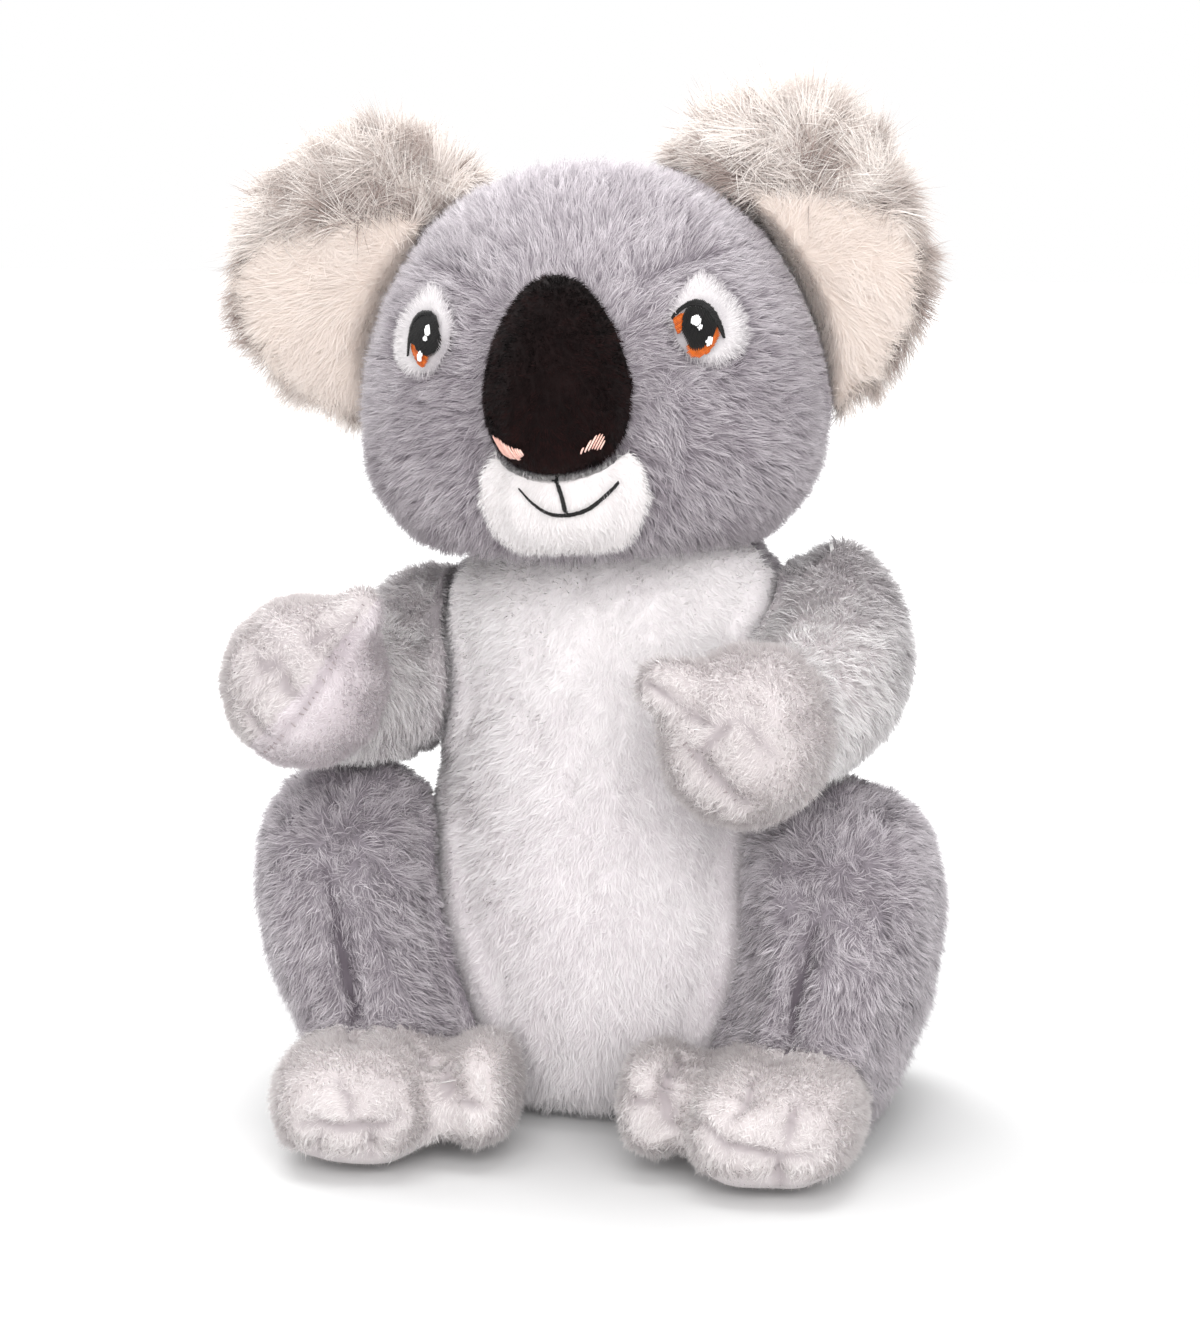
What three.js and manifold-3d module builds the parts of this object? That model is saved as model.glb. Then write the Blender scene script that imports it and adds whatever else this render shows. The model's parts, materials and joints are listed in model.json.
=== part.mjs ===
// Plush koala, seated: pile fabric covers, sewn in panels, over loose fibre filling.
// Millimetres, +Z up. The toy faces -Y, so its left side is +X. The origin is under its seat.
import * as THREE from 'three';
import Module from 'manifold-3d';

const wasm = await Module();
wasm.setup();

// Making
const gap = 0.35;              // clearance between sewn pieces that touch
const wall = 6;                // cover with its pile, from the backing cloth to the fur's surface
const seatCut = 0.5;           // how deep the forms are pressed flat under the toy
const overrun = 300;           // how far a cutting block reaches past the toy
const sliver = 0.02;           // thinner remains of a cut are cleared away

// Torso
const torsoWidth = 105;
const torsoFront = 52;         // reach of the belly in front of the torso's middle
const torsoBack = 51;
const torsoHeight = 151;
const sideSeamForward = 6;     // the seam from belly to back runs this far in front of the middle

// Head
const headWidth = 120;
const headFront = 52;
const headBack = 52;
const headHeight = 103;
const headForward = 8;         // the head's middle lies this far in front of the torso's
const headSink = 16.5;         // the torso's top pushes this far up into the head
const headSeat = torsoHeight - headSink;
const neckShift = -3.5;        // the head sits a little to the toy's right
const neckForward = 2;
const crownSeamBack = 10;      // the seam from ear to ear runs this far behind the head's middle
const headTurn = 2;            // degrees, towards its left
const headTilt = -3;           // degrees, left side up

// Muzzle, nose and stitched face
const muzzleWidth = 47;
const muzzleHeight = 32;
const muzzleFront = 23;        // reach in front of the muzzle's middle
const muzzleAhead = 39;        // its middle, in front of the head's middle
const muzzleForward = headForward + muzzleAhead;
const muzzleRise = 10.5;       // its underside, above the head's underside
const muzzleSeat = headSeat + muzzleRise;
const noseWidth = 38;
const noseHeight = 46.5;
const noseFront = 26;
const noseAhead = 46;
const noseForward = headForward + noseAhead;
const noseRise = 31;
const noseSeat = headSeat + noseRise;
const eyeSpread = 33;          // from the middle line to an eye
const eyeRise = 62.3;          // above the head's underside
const eyeLevel = headSeat + eyeRise;
const eyeWidth = 10.8;
const eyeHeight = 14.6;
const patchWidth = 17.5;
const patchHeight = 27;
const patchPile = 1.2;
const threadHeight = 0.9;      // how far satin stitch stands up
const threadWidth = 1.5;
const mouthWidth = 21;
const mouthDrop = 6.5;
const lipLength = 10;
const mouthRise = 20;
const mouthLevel = headSeat + mouthRise;
const mouthShift = 2.2;        // sewn a little to the toy's left of the nose
const nostrilSpread = 10.5;
const nostrilRise = 39;
const nostrilLevel = headSeat + nostrilRise;
const nostrilWidth = 8.5;
const nostrilHeight = 4.6;

// Ears
const earWidth = 73;
const earHeight = { left: 83, right: 73 };
const earDepth = 25;
const earBack = 4;             // an ear's middle lies this far behind the torso's middle
const earRise = 76.5;          // an ear's middle, above the head's underside
const earLevel = headSeat + earRise;
const earRootRise = 71.5;
const earRootLevel = headSeat + earRootRise;
const earRootInset = 11;       // from the head's side in to the seam that an ear folds on
const earRootSpread = headWidth / 2 - earRootInset;
const earRootLean = 28;        // degrees, the seam's lean towards the crown
const earCup = 8;              // degrees, outer edges forward
const earRange = 18;           // degrees forward and back
const earTurnSteps = 3;

// Arms
const shoulderOut = 0.5;       // an arm's middle at the shoulder, outside the torso's side
const shoulderSpread = torsoWidth / 2 + shoulderOut;
const shoulderDrop = 32;       // and below the torso's top
const shoulderLevel = torsoHeight - shoulderDrop;
const armInward = 16;          // an arm reaches this far inward over the shoulder
const armInnerSpread = shoulderSpread - armInward;
const armThickness = 42;
const armReach = 52;           // from the shoulder forward to the wrist
const armRange = 20;           // degrees up, from resting on the knee
const armTurnSteps = 4;
const handLength = 46;
const handWidth = 42;
const handDepth = 45;
const thumbThickness = 17;
const thumbLength = 23;

// Legs
const hipInset = 2.5;          // the hip turns this far inside the torso's side
const hipSpread = torsoWidth / 2 - hipInset;
const hipBack = 12;
const legForward = 30;         // the knee's middle lies this far in front of the torso's
const legFront = 48;           // reach of the shin in front of the leg's middle
const legBack = 53;            // and of the thigh behind it
const legTop = 88;
const legWidth = 52;
const kneeOut = 10.5;          // the knee's middle, outside the torso's side
const legSpread = torsoWidth / 2 + kneeOut;
const legSplay = 18;           // degrees outward
const legClose = 1.5;          // degrees inward
const legTurnSteps = 4;
const legRoom = 0.6;           // what an arm keeps clear of the splaying leg

// Feet
const footLength = 62;
const footWidth = 47;
const footHeight = 32;
const footForward = 100;       // from the torso's middle to the toes
const toeLength = 36;
const toeWidth = 22;
const toeHeight = 30;
const toeBack = 13;            // the big toe ends this far behind the others
const toeLift = 2.5;           // and is held off the floor
const soleHeight = 5;

const cloth = (colour) => new THREE.MeshStandardMaterial({ color: colour, roughness: 0.95, metalness: 0 });
const greyPile = cloth('#a3a3ab');
const whitePile = cloth('#e8e6e8');
const pawPile = cloth('#d9d2d2');
const palmPile = cloth('#e6dfdf');
const muzzlePile = cloth('#f4f1f2');
const nosePile = cloth('#241a1c');
const earPile = cloth('#b9aeab');
const earLining = cloth('#f1ebe4');
const fibre = cloth('#f6f6f4');
const blackThread = cloth('#1e2022');
const amberThread = cloth('#b85a1b');
const pinkThread = cloth('#e8bfb0');
const whiteThread = cloth('#f2f0f0');

const turn = (degrees) => THREE.MathUtils.degToRad(degrees);

// Closed meshes and solids
function solidOf(geometry) {
  const positions = geometry.getAttribute('position');
  const index = geometry.index;
  return new wasm.Manifold(new wasm.Mesh({
    numProp: 3,
    vertProperties: Float32Array.from(positions.array),
    triVerts: Uint32Array.from(index.array),
  }));
}

function geometryOf(solid) {
  const mesh = solid.setTolerance(sliver).getMesh();
  const geometry = new THREE.BufferGeometry();
  geometry.setAttribute('position', new THREE.BufferAttribute(Float32Array.from(mesh.vertProperties), 3));
  geometry.setIndex(Array.from(mesh.triVerts));
  geometry.computeVertexNormals();
  return geometry;
}

// three.js repeats a vertex for each face that has its own normal, so they are joined by place
function joined(geometry) {
  const flat = geometry.index ? geometry.toNonIndexed() : geometry;
  const positions = flat.getAttribute('position');
  const places = new Map();
  const points = [];
  const index = [];
  for (let i = 0; i < positions.count; i += 1) {
    const point = new THREE.Vector3().fromBufferAttribute(positions, i);
    const key = point.toArray().map((value) => value.toFixed(4)).join();
    if (!places.has(key)) {
      places.set(key, points.length);
      points.push(point);
    }
    index.push(places.get(key));
  }
  const result = new THREE.BufferGeometry().setFromPoints(points);
  result.setIndex(index);
  return result;
}

// A stuffed form: one oval ring for each row, closed at both ends.
// A row is a middle point, the half width across, and the reach to the front and to the back.
// An end row with no width is a single point.
// Fullness 2 gives ovals, and more than 2 gives squarer rings.
function stuffedForm(rows, sides, sideways = new THREE.Vector3(1, 0, 0), fullness = 2) {
  const points = [];
  const index = [];
  const rings = rows.map((row, i) => {
    const before = rows[Math.max(i - 1, 0)].middle;
    const after = rows[Math.min(i + 1, rows.length - 1)].middle;
    const along = after.clone().sub(before).normalize();
    const toFront = sideways.clone().cross(along).normalize();
    const toSide = along.clone().cross(toFront);
    if (row.across === 0) {
      points.push(row.middle.clone());
      return [points.length - 1];
    }
    return Array.from({ length: sides }, (_, j) => {
      const angle = (2 * Math.PI * j) / sides;
      const out = Math.sign(Math.cos(angle)) * Math.abs(Math.cos(angle)) ** (2 / fullness);
      const forward = Math.sign(Math.sin(angle)) * Math.abs(Math.sin(angle)) ** (2 / fullness);
      points.push(row.middle.clone()
        .addScaledVector(toSide, out * row.across)
        .addScaledVector(toFront, forward * (forward > 0 ? row.front : row.back)));
      return points.length - 1;
    });
  });
  const close = (ring, middle, last) => {
    if (ring.length === 1) return;
    points.push(middle.clone());
    const tip = points.length - 1;
    ring.forEach((a, j) => {
      const b = ring[(j + 1) % sides];
      index.push(...(last ? [tip, b, a] : [tip, a, b]));
    });
  };
  close(rings[0], rows[0].middle, false);
  rings.slice(1).forEach((upper, i) => {
    const lower = rings[i];
    for (let j = 0; j < sides; j += 1) {
      const next = (j + 1) % sides;
      if (lower.length === 1) index.push(lower[0], upper[j], upper[next]);
      else if (upper.length === 1) index.push(lower[j], upper[0], lower[next]);
      else index.push(lower[j], upper[j], lower[next], lower[next], upper[j], upper[next]);
    }
  });
  close(rings[rings.length - 1], rows[rows.length - 1].middle, true);
  const geometry = new THREE.BufferGeometry().setFromPoints(points);
  geometry.setIndex(index);
  return geometry;
}

// The same form with its surface moved out or in
function swollen(form, by) {
  const result = form.clone();
  result.computeVertexNormals();
  const positions = result.getAttribute('position');
  const normals = result.getAttribute('normal');
  for (let i = 0; i < positions.count; i += 1) {
    const point = new THREE.Vector3().fromBufferAttribute(positions, i);
    point.addScaledVector(new THREE.Vector3().fromBufferAttribute(normals, i), by);
    positions.setXYZ(i, point.x, point.y, point.z);
  }
  return result;
}

// The filling's form needs fewer rings, and none for the cover's pressed end
const coreRows = (rows) => rows.slice(1).filter((_, i, kept) => i % 2 === 0 || i === kept.length - 1);

// A block that fills the half space in front of a plane
function halfSpace(point, direction) {
  const box = new THREE.BoxGeometry(2 * overrun, 2 * overrun, overrun);
  box.translate(0, 0, overrun / 2);
  const away = direction.clone().normalize();
  const facing = new THREE.Quaternion().setFromUnitVectors(new THREE.Vector3(0, 0, 1), away);
  box.applyQuaternion(facing);
  box.translate(point.x, point.y, point.z);
  return solidOf(joined(box));
}

const underFloor = halfSpace(new THREE.Vector3(0, 0, 0), new THREE.Vector3(0, 0, -1));

// A flat outline in the face's plane, drawn straight forward from a start in front of the middle
function outlineBlock(shape, place, start = 0) {
  const block = new THREE.ExtrudeGeometry(shape, { depth: overrun, bevelEnabled: false, curveSegments: 7 });
  block.rotateX(Math.PI / 2);
  block.translate(0, -start, 0);
  return solidOf(joined(block.applyMatrix4(place)));
}

function ovalShape(x, z, width, height, lean = 0) {
  const shape = new THREE.Shape();
  shape.absellipse(x, z, width / 2, height / 2, 0, 2 * Math.PI, false, turn(lean));
  return shape;
}

// Copies of a cutter turned about an axis, joined: the room that it needs in the moving body
function turned(geometry, pivot, axis, from, to, steps) {
  let room = null;
  for (let i = 0; i <= steps; i += 1) {
    const angle = turn(from + ((to - from) * i) / steps);
    const place = new THREE.Matrix4().makeTranslation(pivot.x, pivot.y, pivot.z)
      .multiply(new THREE.Matrix4().makeRotationAxis(axis, angle))
      .multiply(new THREE.Matrix4().makeTranslation(-pivot.x, -pivot.y, -pivot.z));
    const copy = solidOf(geometry.clone().applyMatrix4(place));
    room = room ? room.add(copy) : copy;
  }
  return room;
}

// A body's group stands at its pivot, so turning the group moves the body
const koala = new THREE.Group();

function bodyGroup(parent, pivot) {
  const group = new THREE.Group();
  parent.add(group);
  parent.updateWorldMatrix(true, false);
  group.position.copy(parent.worldToLocal(pivot.clone()));
  group.updateWorldMatrix(true, false);
  return group;
}

function addPiece(group, name, solid, material) {
  group.updateWorldMatrix(true, false);
  const geometry = geometryOf(solid).applyMatrix4(group.matrixWorld.clone().invert());
  const mesh = new THREE.Mesh(geometry, material);
  mesh.name = name;
  group.add(mesh);
}

// Torso
const torsoShares = [
  // height, across, front, back
  [0, 0.66, 0.62, 0.66],
  [0.02, 0.80, 0.79, 0.80],
  [0.066, 0.92, 0.90, 0.91],
  [0.165, 0.99, 0.98, 0.98],
  [0.30, 1.0, 1.0, 1.0],
  [0.43, 0.955, 0.97, 0.97],
  [0.56, 0.88, 0.90, 0.91],
  [0.68, 0.872, 0.82, 0.83],
  [0.79, 0.865, 0.74, 0.75],
  [0.87, 0.825, 0.65, 0.66],
  [0.935, 0.71, 0.53, 0.54],
  [0.98, 0.47, 0.35, 0.36],
  [1, 0, 0, 0],
];
const torsoRows = torsoShares.map(([height, across, front, back]) => ({
  middle: new THREE.Vector3(0, 0, height * (torsoHeight + seatCut) - seatCut),
  across: across * torsoWidth / 2,
  front: front * torsoFront,
  back: back * torsoBack,
}));
const torsoSides = 18;
const coreSides = 8;
const torsoForm = stuffedForm(torsoRows, torsoSides);
const torsoCore = stuffedForm(coreRows(torsoRows), coreSides);

function makeTorso() {
  const torso = bodyGroup(koala, new THREE.Vector3(0, 0, 0));
  const cover = solidOf(torsoForm).subtract(underFloor).subtract(solidOf(swollen(torsoCore, -wall)));
  const seam = new THREE.Vector3(0, -sideSeamForward, 0);
  const front = new THREE.Vector3(0, -1, 0);
  const back = new THREE.Vector3(0, 1, 0);
  const seamBack = seam.clone().addScaledVector(back, gap);
  addPiece(torso, 'belly_panel', cover.intersect(halfSpace(seam, front)), whitePile);
  addPiece(torso, 'back_panel', cover.intersect(halfSpace(seamBack, back)), greyPile);
  addPiece(torso, 'torso_filling', solidOf(swollen(torsoCore, -wall - gap)), fibre);
}

// Head
const neck = new THREE.Vector3(neckShift, -neckForward, headSeat);
const upright = new THREE.Vector3(0, 0, 1);
const headPlace = new THREE.Matrix4().makeTranslation(neck.x, neck.y, neck.z)
  .multiply(new THREE.Matrix4().makeRotationZ(turn(headTurn)))
  .multiply(new THREE.Matrix4().makeRotationY(turn(headTilt)))
  .multiply(new THREE.Matrix4().makeTranslation(0, neckForward, -headSeat));
const headShares = [
  // height, across, front, back
  [0, 0.42, 0.42, 0.44],
  [0.035, 0.62, 0.68, 0.66],
  [0.095, 0.80, 0.86, 0.83],
  [0.18, 0.93, 0.965, 0.95],
  [0.29, 0.995, 1.0, 1.0],
  [0.42, 0.99, 1.0, 1.0],
  [0.55, 0.945, 0.965, 0.97],
  [0.67, 0.865, 0.89, 0.90],
  [0.78, 0.755, 0.76, 0.78],
  [0.87, 0.61, 0.60, 0.62],
  [0.94, 0.43, 0.42, 0.44],
  [0.985, 0.22, 0.22, 0.22],
  [1, 0, 0, 0],
];
const headRows = headShares.map(([height, across, front, back]) => ({
  middle: new THREE.Vector3(0, -headForward, headSeat + height * headHeight),
  across: across * headWidth / 2,
  front: front * headFront,
  back: back * headBack,
}));
const headForm = stuffedForm(headRows, torsoSides).applyMatrix4(headPlace);
const headCore = stuffedForm(coreRows(headRows), coreSides).applyMatrix4(headPlace);

// A form as it looks to what turns against it on the neck: its furthest reach at each height
function turningRoom(rows, reach, lift) {
  const profile = rows.map((row) => new THREE.Vector2(
    Math.max(row.across, row.front, row.back) + reach, row.middle.z + lift));
  profile.unshift(new THREE.Vector2(0, profile[0].y));
  profile.push(new THREE.Vector2(0, profile[profile.length - 1].y));
  const room = new THREE.LatheGeometry(profile, torsoSides);
  room.rotateX(Math.PI / 2);
  room.translate(neck.x, neck.y, 0);
  return solidOf(joined(room));
}

const rowsUnderHead = 7;
const rowsUnderCheeks = 5;
const neckRoom = turningRoom(torsoRows.slice(-rowsUnderHead), Math.hypot(neckShift, neckForward) + gap, gap);
const headLean = Math.abs(Math.sin(turn(headTilt))) * headWidth / 2;
const cheekRows = headRows.slice(0, rowsUnderCheeks);
const headRoom = turningRoom(cheekRows, headForward - neckForward + gap, -headLean - gap);

// Muzzle and nose are small stuffed forms sewn to the face
const muzzleShares = [
  [0, 0.50, 0.50, 0.5],
  [0.07, 0.72, 0.72, 0.7],
  [0.22, 0.91, 0.92, 0.9],
  [0.42, 1.0, 1.0, 1.0],
  [0.65, 0.97, 0.96, 1.0],
  [0.85, 0.80, 0.80, 0.8],
  [1, 0.5, 0.5, 0.5],
];
const muzzleBackShare = 0.5;
const muzzleRows = muzzleShares.map(([height, across, front, back]) => ({
  middle: new THREE.Vector3(0, -muzzleForward, muzzleSeat + height * muzzleHeight),
  across: across * muzzleWidth / 2,
  front: front * muzzleFront,
  back: back * muzzleFront * muzzleBackShare,
}));
const noseShares = [
  [0, 0.40, 0.62],
  [0.045, 0.66, 0.80],
  [0.13, 0.86, 0.94],
  [0.26, 0.98, 1.0],
  [0.40, 1.0, 0.97],
  [0.55, 0.93, 0.84],
  [0.70, 0.79, 0.67],
  [0.83, 0.60, 0.49],
  [0.94, 0.37, 0.30],
  [1, 0, 0],
];
const noseBackShare = 0.35;
const noseRows = noseShares.map(([height, across, front]) => ({
  middle: new THREE.Vector3(0, -noseForward, noseSeat + height * noseHeight),
  across: across * noseWidth / 2,
  front: front * noseFront,
  back: across * noseFront * noseBackShare,
}));
const muzzleSides = 12;
const muzzleForm = stuffedForm(muzzleRows, muzzleSides).applyMatrix4(headPlace);
const noseForm = stuffedForm(noseRows, muzzleSides).applyMatrix4(headPlace);

// A layer that lies on a form, as deep as its pile or thread
function layerOn(form, lift, depth) {
  return solidOf(swollen(form, lift + depth)).subtract(solidOf(swollen(form, lift)));
}

function mouthShape() {
  const shape = new THREE.Shape();
  const half = mouthWidth / 2;
  const low = mouthLevel;
  const stroke = threadWidth / 2;
  const x = mouthShift;
  shape.moveTo(x - half, low + mouthDrop - stroke);
  shape.quadraticCurveTo(x - half / 2, low - stroke, x, low - stroke);
  shape.quadraticCurveTo(x + half / 2, low - stroke, x + half, low + mouthDrop - stroke);
  shape.lineTo(x + half - stroke, low + mouthDrop + stroke);
  shape.quadraticCurveTo(x + half / 2, low + threadWidth, x + stroke, low + stroke);
  shape.lineTo(x + stroke, low + lipLength);
  shape.lineTo(x - stroke, low + lipLength);
  shape.lineTo(x - stroke, low + stroke);
  shape.quadraticCurveTo(x - half / 2, low + threadWidth, x + stroke - half, low + mouthDrop + stroke);
  return shape;
}

const pupilShare = 0.80;
const glintShares = { upper: [-0.08, 0.17, 0.21, 0.25], lower: [0.13, -0.16, 0.13, 0.14] };

function makeEye(group, side, name) {
  const x = side * eyeSpread;
  const z = eyeLevel;
  const ground = patchPile + 2 * gap;
  const layer = layerOn(headForm, ground, threadHeight);
  const iris = ovalShape(x, z, eyeWidth, eyeHeight);
  const pupilWidth = eyeWidth * pupilShare;
  const pupilHeight = eyeHeight * pupilShare;
  const pupilRise = (eyeHeight - pupilHeight) / 2 - gap;
  const pupil = (room) => outlineBlock(
    ovalShape(x, z + pupilRise / 2, pupilWidth + 2 * room, pupilHeight + 2 * room), headPlace);
  const patch = ovalShape(x, z, patchWidth, patchHeight);
  addPiece(group, `eye_patch_${name}`,
    layerOn(headForm, gap, patchPile).intersect(outlineBlock(patch, headPlace)), muzzlePile);
  addPiece(group, `eye_iris_${name}`,
    layer.intersect(outlineBlock(iris, headPlace)).subtract(pupil(gap)), amberThread);
  let pupilSolid = layer.intersect(pupil(0));
  Object.entries(glintShares).forEach(([place, [right, up, across, tall]]) => {
    const glint = (room) => outlineBlock(ovalShape(x + right * eyeWidth, z + up * eyeHeight,
      across * eyeWidth + 2 * room, tall * eyeHeight + 2 * room), headPlace);
    pupilSolid = pupilSolid.subtract(glint(gap));
    addPiece(group, `eye_glint_${place}_${name}`, layer.intersect(glint(0)), whiteThread);
  });
  addPiece(group, `eye_pupil_${name}`, pupilSolid, blackThread);
}

// Ears: two cloths sewn together round the rim, folding on the seam at the head
const earShares = [
  // height, across, depth
  [0, 0.26, 0.36],
  [0.05, 0.48, 0.62],
  [0.15, 0.74, 0.86],
  [0.30, 0.94, 1.0],
  [0.48, 1.0, 1.0],
  [0.66, 0.95, 0.92],
  [0.81, 0.79, 0.80],
  [0.92, 0.55, 0.60],
  [0.98, 0.30, 0.36],
  [1, 0, 0],
];
const earSides = 12;
const earInset = { left: 13, right: 4 };       // from the head's side in to each ear's middle
const earSeamShare = 0.33;     // on the front the lining starts this far below the rim
const earSeamLean = 48;        // degrees, the lining's seam leans back as it goes down

function earParts(side, name) {
  const rows = earShares.map(([height, across, depth]) => ({
    middle: new THREE.Vector3(0, 0, (height - 0.5) * earHeight[name]),
    across: across * earWidth / 2,
    front: depth * earDepth / 2,
    back: depth * earDepth / 2,
  }));
  const place = headPlace.clone()
    .multiply(new THREE.Matrix4().makeTranslation(side * (headWidth / 2 - earInset[name]), earBack, earLevel))
    .multiply(new THREE.Matrix4().makeRotationZ(-side * turn(earCup)));
  const root = new THREE.Vector3(side * earRootSpread, earBack, earRootLevel).applyMatrix4(headPlace);
  const axis = new THREE.Vector3(-side * Math.sin(turn(earRootLean)), 0, Math.cos(turn(earRootLean)))
    .transformDirection(headPlace);
  const form = stuffedForm(rows, earSides).applyMatrix4(place);
  const room = turned(swollen(headForm, gap), root, axis, -earRange, earRange, earTurnSteps);
  const ear = solidOf(form).subtract(room);
  const seamLevel = (0.5 - earSeamShare) * earHeight[name];
  const seam = new THREE.Vector3(0, -earDepth / 2, seamLevel).applyMatrix4(place);
  const lining = new THREE.Vector3(0, -Math.cos(turn(earSeamLean)), -Math.sin(turn(earSeamLean)))
    .transformDirection(place);
  return { ear, root, axis, seam, lining };
}

function makeEar(head, side, name) {
  const { ear, root, seam, lining } = earParts(side, name);
  const group = bodyGroup(head, root);
  const outer = seam.clone().addScaledVector(lining, -gap);
  addPiece(group, `ear_front_${name}`, ear.intersect(halfSpace(seam, lining)), earLining);
  addPiece(group, `ear_back_${name}`, ear.intersect(halfSpace(outer, lining.clone().negate())), earPile);
}

function makeHead() {
  const head = bodyGroup(koala, neck);
  head.rotation.set(0, turn(headTilt), turn(headTurn), 'ZYX');
  const cover = solidOf(headForm).subtract(neckRoom).subtract(solidOf(swollen(headCore, -wall)));
  const seam = new THREE.Vector3(0, crownSeamBack - headForward, 0).applyMatrix4(headPlace);
  const front = new THREE.Vector3(0, -1, 0).transformDirection(headPlace);
  const back = front.clone().negate();
  const seamBack = seam.clone().addScaledVector(back, gap);
  addPiece(head, 'face_panel', cover.intersect(halfSpace(seam, front)), greyPile);
  addPiece(head, 'head_back_panel', cover.intersect(halfSpace(seamBack, back)), greyPile);
  addPiece(head, 'head_filling', solidOf(swollen(headCore, -wall - gap)).subtract(neckRoom), fibre);
  const skin = solidOf(swollen(headForm, gap));
  const nose = solidOf(noseForm).subtract(skin);
  const muzzle = solidOf(muzzleForm).subtract(skin).subtract(solidOf(swollen(noseForm, gap)));
  addPiece(head, 'muzzle', muzzle, muzzlePile);
  addPiece(head, 'nose', nose, nosePile);
  const mouthBlock = outlineBlock(mouthShape(), headPlace, muzzleForward);
  const mouth = layerOn(muzzleForm, gap, threadHeight).intersect(mouthBlock);
  addPiece(head, 'mouth_stitch', mouth.subtract(solidOf(swollen(noseForm, gap))).subtract(skin), blackThread);
  [['left', 1], ['right', -1]].forEach(([name, side]) => {
    const nostril = ovalShape(side * nostrilSpread, nostrilLevel, nostrilWidth, nostrilHeight, side * headTurn);
    const nostrilBlock = outlineBlock(nostril, headPlace, noseForward);
    addPiece(head, `nostril_stitch_${name}`,
      layerOn(noseForm, gap, threadHeight).intersect(nostrilBlock), pinkThread);
    makeEye(head, side, name);
    makeEar(head, side, name);
  });
}

// Arms: each runs from the shoulder to the wrist, and ends in a stuffed hand with a thumb.
// Places are shares of the shoulder's spread, the arm's reach and the shoulder's level.
const armShares = {
  right: [
    [0.90, -0.22, 1.11, 0.40],
    [0.92, -0.17, 1.05, 0.78],
    [0.96, -0.06, 0.96, 1.02],
    [1.05, 0.13, 0.89, 1.08],
    [1.14, 0.42, 0.88, 1.02],
    [1.21, 0.74, 0.905, 0.92],
    [1.24, 1.15, 0.935, 0.80],
  ],
  left: [
    [0.84, -0.20, 1.17, 0.40],
    [0.89, -0.16, 1.13, 0.80],
    [0.97, -0.04, 1.04, 1.06],
    [1.03, 0.18, 0.955, 1.12],
    [1.03, 0.48, 0.92, 1.06],
    [1.00, 0.78, 0.905, 0.95],
    [0.89, 1.22, 0.89, 0.80],
  ],
};
// The hand's middle and direction, and the palm's side, as shares of the same sizes
const handShares = {
  right: { at: [1.245, 1.16, 0.95], point: [0.02, 1, 0.12], palm: [-0.72, -0.15, -0.66] },
  left: { at: [0.805, 1.28, 0.882], point: [-0.35, 1, -0.10], palm: [-0.35, 0.55, -0.60] },
};
const thumbShares = {
  right: { from: [1.16, 1.18, 1.00], point: [-0.62, 0.12, 0.72] },
  left: { from: [0.74, 1.40, 0.965], point: [-1, 0.16, 0.20] },
};
const handRowShares = [
  [0, 0.42],
  [0.05, 0.62],
  [0.15, 0.84],
  [0.32, 0.98],
  [0.52, 1.0],
  [0.72, 0.92],
  [0.87, 0.74],
  [0.96, 0.48],
  [1, 0],
];
const limbSides = 10;

const atShares = (side, [out, forward, up]) => new THREE.Vector3(
  side * out * shoulderSpread, -forward * armReach, up * shoulderLevel);

// A rounded pad from a start point along a direction
function padRows(start, direction, length, halfAcross, halfDeep, rowShares) {
  return rowShares.map(([along, size]) => ({
    middle: start.clone().addScaledVector(direction, along * length),
    across: size * halfAcross,
    front: size * halfDeep,
    back: size * halfDeep,
  }));
}

function armForms(side, name) {
  const rows = armShares[name].map(([out, forward, up, size]) => ({
    middle: atShares(side, [out, forward, up]),
    across: size * armThickness / 2,
    front: size * armThickness / 2,
    back: size * armThickness / 2,
  }));
  const hand = handShares[name];
  const [out, forward, up] = hand.point;
  const pointing = new THREE.Vector3(side * out, -forward, up).normalize();
  const start = atShares(side, hand.at).addScaledVector(pointing, -handLength / 2);
  const handRows = padRows(start, pointing, handLength, handWidth / 2, handDepth / 2, handRowShares);
  const thumb = thumbShares[name];
  const thumbWay = new THREE.Vector3(side * thumb.point[0], -thumb.point[1], thumb.point[2]).normalize();
  const thumbRows = padRows(atShares(side, thumb.from), thumbWay, thumbLength,
    thumbThickness / 2, thumbThickness / 2, handRowShares);
  const levelSide = new THREE.Vector3(1, 0, 0);
  const thumbSide = new THREE.Vector3(0, 1, 0);
  return {
    arm: stuffedForm(rows, limbSides, levelSide),
    armCore: stuffedForm(coreRows(rows), coreSides, levelSide),
    hand: stuffedForm(handRows, limbSides, levelSide),
    handCore: stuffedForm(coreRows(handRows), coreSides, levelSide),
    thumb: stuffedForm(thumbRows, coreSides, thumbSide),
    middle: atShares(side, hand.at),
    palm: new THREE.Vector3(side * hand.palm[0], -hand.palm[1], hand.palm[2]).normalize(),
  };
}

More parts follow.
